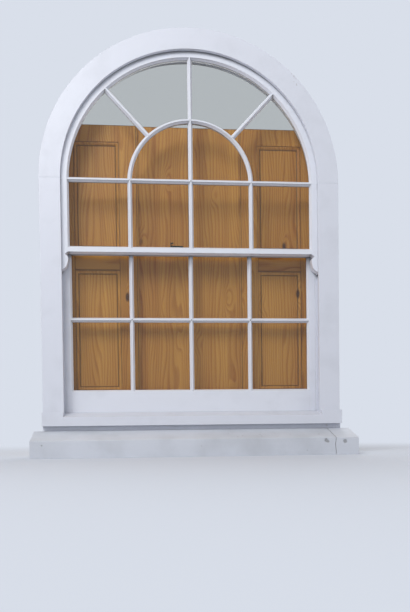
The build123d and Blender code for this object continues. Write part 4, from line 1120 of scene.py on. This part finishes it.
def cord_tube(name, points):
    """A closed tube through points that lie in one plane across Y, with a UV map in metres."""
    bm = bmesh.new()
    uv = bm.loops.layers.uv.new("Plait")
    sides, across = 10, Vector((0, 1, 0))
    rings, runs, run = [], [], 0.0
    for i, p in enumerate(points):
        ahead = points[min(i + 1, len(points) - 1)] - points[max(i - 1, 0)]
        out = ahead.normalized().cross(across)
        if i:
            run += (p - points[i - 1]).length
        runs.append(run)
        turns = [2 * pi * k / sides for k in range(sides)]
        rings.append([bm.verts.new(p + CORD_RADIUS * (cos(t) * out + sin(t) * across)) for t in turns])
    for i in range(len(rings) - 1):
        for k in range(sides):
            n = (k + 1) % sides
            face = bm.faces.new((rings[i][k], rings[i][n], rings[i + 1][n], rings[i + 1][k]))
            face.smooth = True
            corners = ((k, i), (k + 1, i), (k + 1, i + 1), (k, i + 1))
            for loop, (u, v) in zip(face.loops, corners):
                loop[uv].uv = (u * 2 * pi * CORD_RADIUS / sides, runs[v])
    bm.faces.new(rings[0])
    bm.faces.new(rings[-1])
    bmesh.ops.recalc_face_normals(bm, faces=bm.faces)
    return piece_from(bm, name, "waxed_cord")


def knot(name, centre, radius):
    """A tied knot: a ball whose faces are pulled into three turns of cord."""
    bm = bmesh.new()
    bmesh.ops.create_uvsphere(bm, u_segments=20, v_segments=14, radius=radius)
    for v in bm.verts:
        turn = atan2(v.co.y, v.co.x)
        v.co *= 0.93 + 0.07 * abs(sin(1.5 * turn + 420 * v.co.z))
        v.co += centre
    for face in bm.faces:
        face.smooth = True
    return piece_from(bm, name, "waxed_cord")


def cord_run(name, top, foot, joint):
    """A straight stretch that hangs from the pulley. Where its slide's range is mostly below zero its mesh is
    fixed in place; otherwise it rides on the root with a mesh of its own."""
    steps = 60
    tube = cord_tube(name, [top.lerp(foot, i / steps) for i in range(steps + 1)])
    travel = min(joint["range_m"]) + max(joint["range_m"])
    if travel < 0:
        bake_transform(tube)
    else:
        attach(tube, "root")
        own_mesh(tube)


class SASH_OT_cords(bpy.types.Operator):
    """Lay the sash cords over the pulleys and down to the sashes and weights, with a knot at each end"""

    bl_idname = "sash.cords"
    bl_label = "Sash cords"

    def execute(self, context):
        steps = 24
        # The piece over the pulley runs this far into the straight stretches
        tail = Vector((0, 0, 0.004))
        for sash in ("upper", "lower"):
            (_, near, _), (_, far, weight_top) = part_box(f"{sash}_sash_weights")
            y = (near + far) / 2
            weight_knot = weight_top - WEIGHT_KNOT_DROP
            for name, side in SIDES:
                cord = f"{sash}_cord_{name}"
                axle_x, _, axle_z = JOINT[f"pulley_{sash}_{name}_spin"]["pos_m"]
                out = side * CORD_LINE_RADIUS
                arc = [
                    Vector((axle_x - out * cos(turn), y, axle_z + CORD_LINE_RADIUS * sin(turn)))
                    for turn in (pi * i / steps for i in range(steps + 1))
                ]
                over = cord_tube(f"{cord}_over_pulley", [arc[0] - tail, *arc, arc[-1] - tail])
                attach(over, "root")
                if name == "left":
                    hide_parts(f"{sash}_sash_cords")
                # The sash's knot lies in its pocket, flush with the edge of the sash
                groove = side * (HEAD_OUTER - KNOT_RADIUS["sash"])
                for end, body, x, tied_x, z in (
                    ("sash", f"{sash}_sash", axle_x - out, groove, SASH_KNOT_HEIGHT[sash]),
                    ("weight", f"{sash}_weights", axle_x + out, axle_x + out, weight_knot),
                ):
                    top, foot = Vector((x, y, axle_z)), Vector((x, y, z))
                    cord_run(f"{cord}_{end}_run", top, foot, JOINT[f"{sash}_{end}_slide"])
                    tied = knot(f"{cord}_{end}_knot", Vector((tied_x, y, z)), KNOT_RADIUS[end])
                    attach(tied, body)
        return {"FINISHED"}


def by_eye(tree):
    """1 where a ray comes from the camera, by way of shine or glass too, and 0 where it lights."""
    ray = add_node(tree, "ShaderNodeLightPath").outputs
    seen = ray["Is Camera Ray"]
    for way in ("Is Glossy Ray", "Is Transmission Ray"):
        seen = add_node(tree, "ShaderNodeMath", {0: seen, 1: ray[way]}, operation="MAXIMUM")
    return seen


# Soft lamps: name, place, width across and power
LAMPS = (
    ("key, upper left", (-2.1, -3.3, 3.9), 2.6, 130),
    ("fill, right", (3.6, -3.0, 1.8), 2.6, 4),
    ("room side", (1.0, 3.6, 2.8), 2.6, 60),
)
LAMP_AIM = Vector((0, 0, 1.1))
SENSOR_WIDTH = 36


def pale_room(scene, stage):
    """White light from all round, and the backdrop's colour where it is seen."""
    world = bpy.data.worlds.new("pale room")
    scene.world = world
    world.use_nodes = True
    tree = world.node_tree
    white = (*[stage.ambient] * 3, 1)
    light = add_node(
        tree,
        "ShaderNodeMix",
        {"Factor": by_eye(tree), "A": white, "B": (*stage.backdrop, 1)},
        data_type="RGBA",
    )
    feed(tree.nodes["Background"], {"Color": light})


def pale_floor(stage):
    """A matt floor that keeps shadows near the object and fades into the backdrop further away."""
    mesh = bpy.data.meshes.new("floor")
    far = 30
    corners = [(-far, -far, 0), (far, -far, 0), (far, far, 0), (-far, far, 0)]
    mesh.from_pydata(corners, [], [(0, 1, 2, 3)])
    material, tree, shader = new_material("pale floor")
    feed(shader, {"Base Color": (*stage.floor, 1), "Roughness": 0.9})
    where = add_node(tree, "ShaderNodeTexCoord").outputs["Object"]
    away = add_node(tree, "ShaderNodeVectorMath", {0: where}, operation="LENGTH")
    fade = add_node(
        tree,
        "ShaderNodeMapRange",
        {"Value": away, "From Min": 1.0, "From Max": 3.5},
        interpolation_type="SMOOTHSTEP",
    )
    share = add_node(tree, "ShaderNodeMath", {0: by_eye(tree), 1: fade}, operation="MULTIPLY")
    glow = add_node(tree, "ShaderNodeEmission", {"Color": (*stage.backdrop, 1)})
    end = add_node(tree, "ShaderNodeMixShader", {0: share, 1: shader, 2: glow})
    feed(tree.nodes["Material Output"], {"Surface": end})
    mesh.materials.append(material)
    return link(bpy.data.objects.new("floor", mesh))


def photograph_camera(stage):
    """A camera at the photograph's viewing place and angle."""
    yaw, pitch, roll = stage.turn
    ahead = Vector((sin(yaw) * cos(pitch), cos(yaw) * cos(pitch), sin(pitch)))
    level = Vector((cos(yaw), -sin(yaw), 0))
    upright = level.cross(ahead)
    right = cos(roll) * level + sin(roll) * upright
    up = -sin(roll) * level + cos(roll) * upright
    camera = bpy.data.cameras.new("photograph's place")
    camera.sensor_width = SENSOR_WIDTH
    camera.lens = stage.focal / PICTURE_HEIGHT * SENSOR_WIDTH
    camera.shift_x = -stage.shift[0] / PICTURE_HEIGHT
    camera.shift_y = stage.shift[1] / PICTURE_HEIGHT
    camera.clip_end = 200
    view = link(bpy.data.objects.new("photograph's place", camera))
    turned = Matrix((right, up, -ahead)).transposed().to_4x4()
    view.matrix_world = Matrix.Translation(Vector(stage.eye)) @ turned
    return view


class SASH_OT_stage(bpy.types.Operator):
    """Set the floor, the soft light and the camera"""

    bl_idname = "sash.stage"
    bl_label = "Stage"

    def execute(self, context):
        scene = context.scene
        stage = scene.sash_window.stage
        scene.view_settings.view_transform = "Standard"
        pale_room(scene, stage)
        pale_floor(stage)
        for name, place, size, power in LAMPS:
            lamp = bpy.data.lights.new(name, "AREA")
            lamp.shape = "DISK"
            lamp.size = size
            lamp.energy = power
            holder = link(bpy.data.objects.new(name, lamp))
            holder.visible_camera = holder.visible_transmission = False
            holder.location = place
            holder.rotation_euler = (LAMP_AIM - Vector(place)).to_track_quat("-Z", "Y").to_euler()
        scene.camera = photograph_camera(stage)
        return {"FINISHED"}


OPERATORS = (
    SASH_OT_finishes,
    SASH_OT_frame,
    SASH_OT_sashes,
    SASH_OT_bars,
    SASH_OT_stone,
    SASH_OT_shutters,
    SASH_OT_ironmongery,
    SASH_OT_screws,
    SASH_OT_cords,
    SASH_OT_stage,
)


class SASH_PT_window(bpy.types.Panel):
    """Sidebar panel with the window's settings and pieces"""

    bl_idname = "SASH_PT_window"
    bl_label = "Sash Window"
    bl_space_type = "VIEW_3D"
    bl_region_type = "UI"
    bl_category = "Sash Window"

    def draw(self, context):
        settings = context.scene.sash_window
        for part in settings.__annotations__:
            group = getattr(settings, part)
            box = self.layout.box()
            for name in group.__annotations__:
                box.prop(group, name)
        for operator in OPERATORS:
            self.layout.operator(operator.bl_idname)


CLASSES = (
    SASH_PG_paint,
    SASH_PG_timber,
    SASH_PG_bars,
    SASH_PG_metal,
    SASH_PG_glass,
    SASH_PG_stage,
    SASH_PG_window,
    *OPERATORS,
    SASH_PT_window,
)


def register():
    for item in CLASSES:
        bpy.utils.register_class(item)
    bpy.types.Scene.sash_window = PointerProperty(type=SASH_PG_window)


def unregister():
    del bpy.types.Scene.sash_window
    for item in reversed(CLASSES):
        bpy.utils.unregister_class(item)


def main():
    register()
    for operator in OPERATORS:
        group, name = operator.bl_idname.split(".")
        getattr(getattr(bpy.ops, group), name)()


if __name__ == "__main__":
    main()
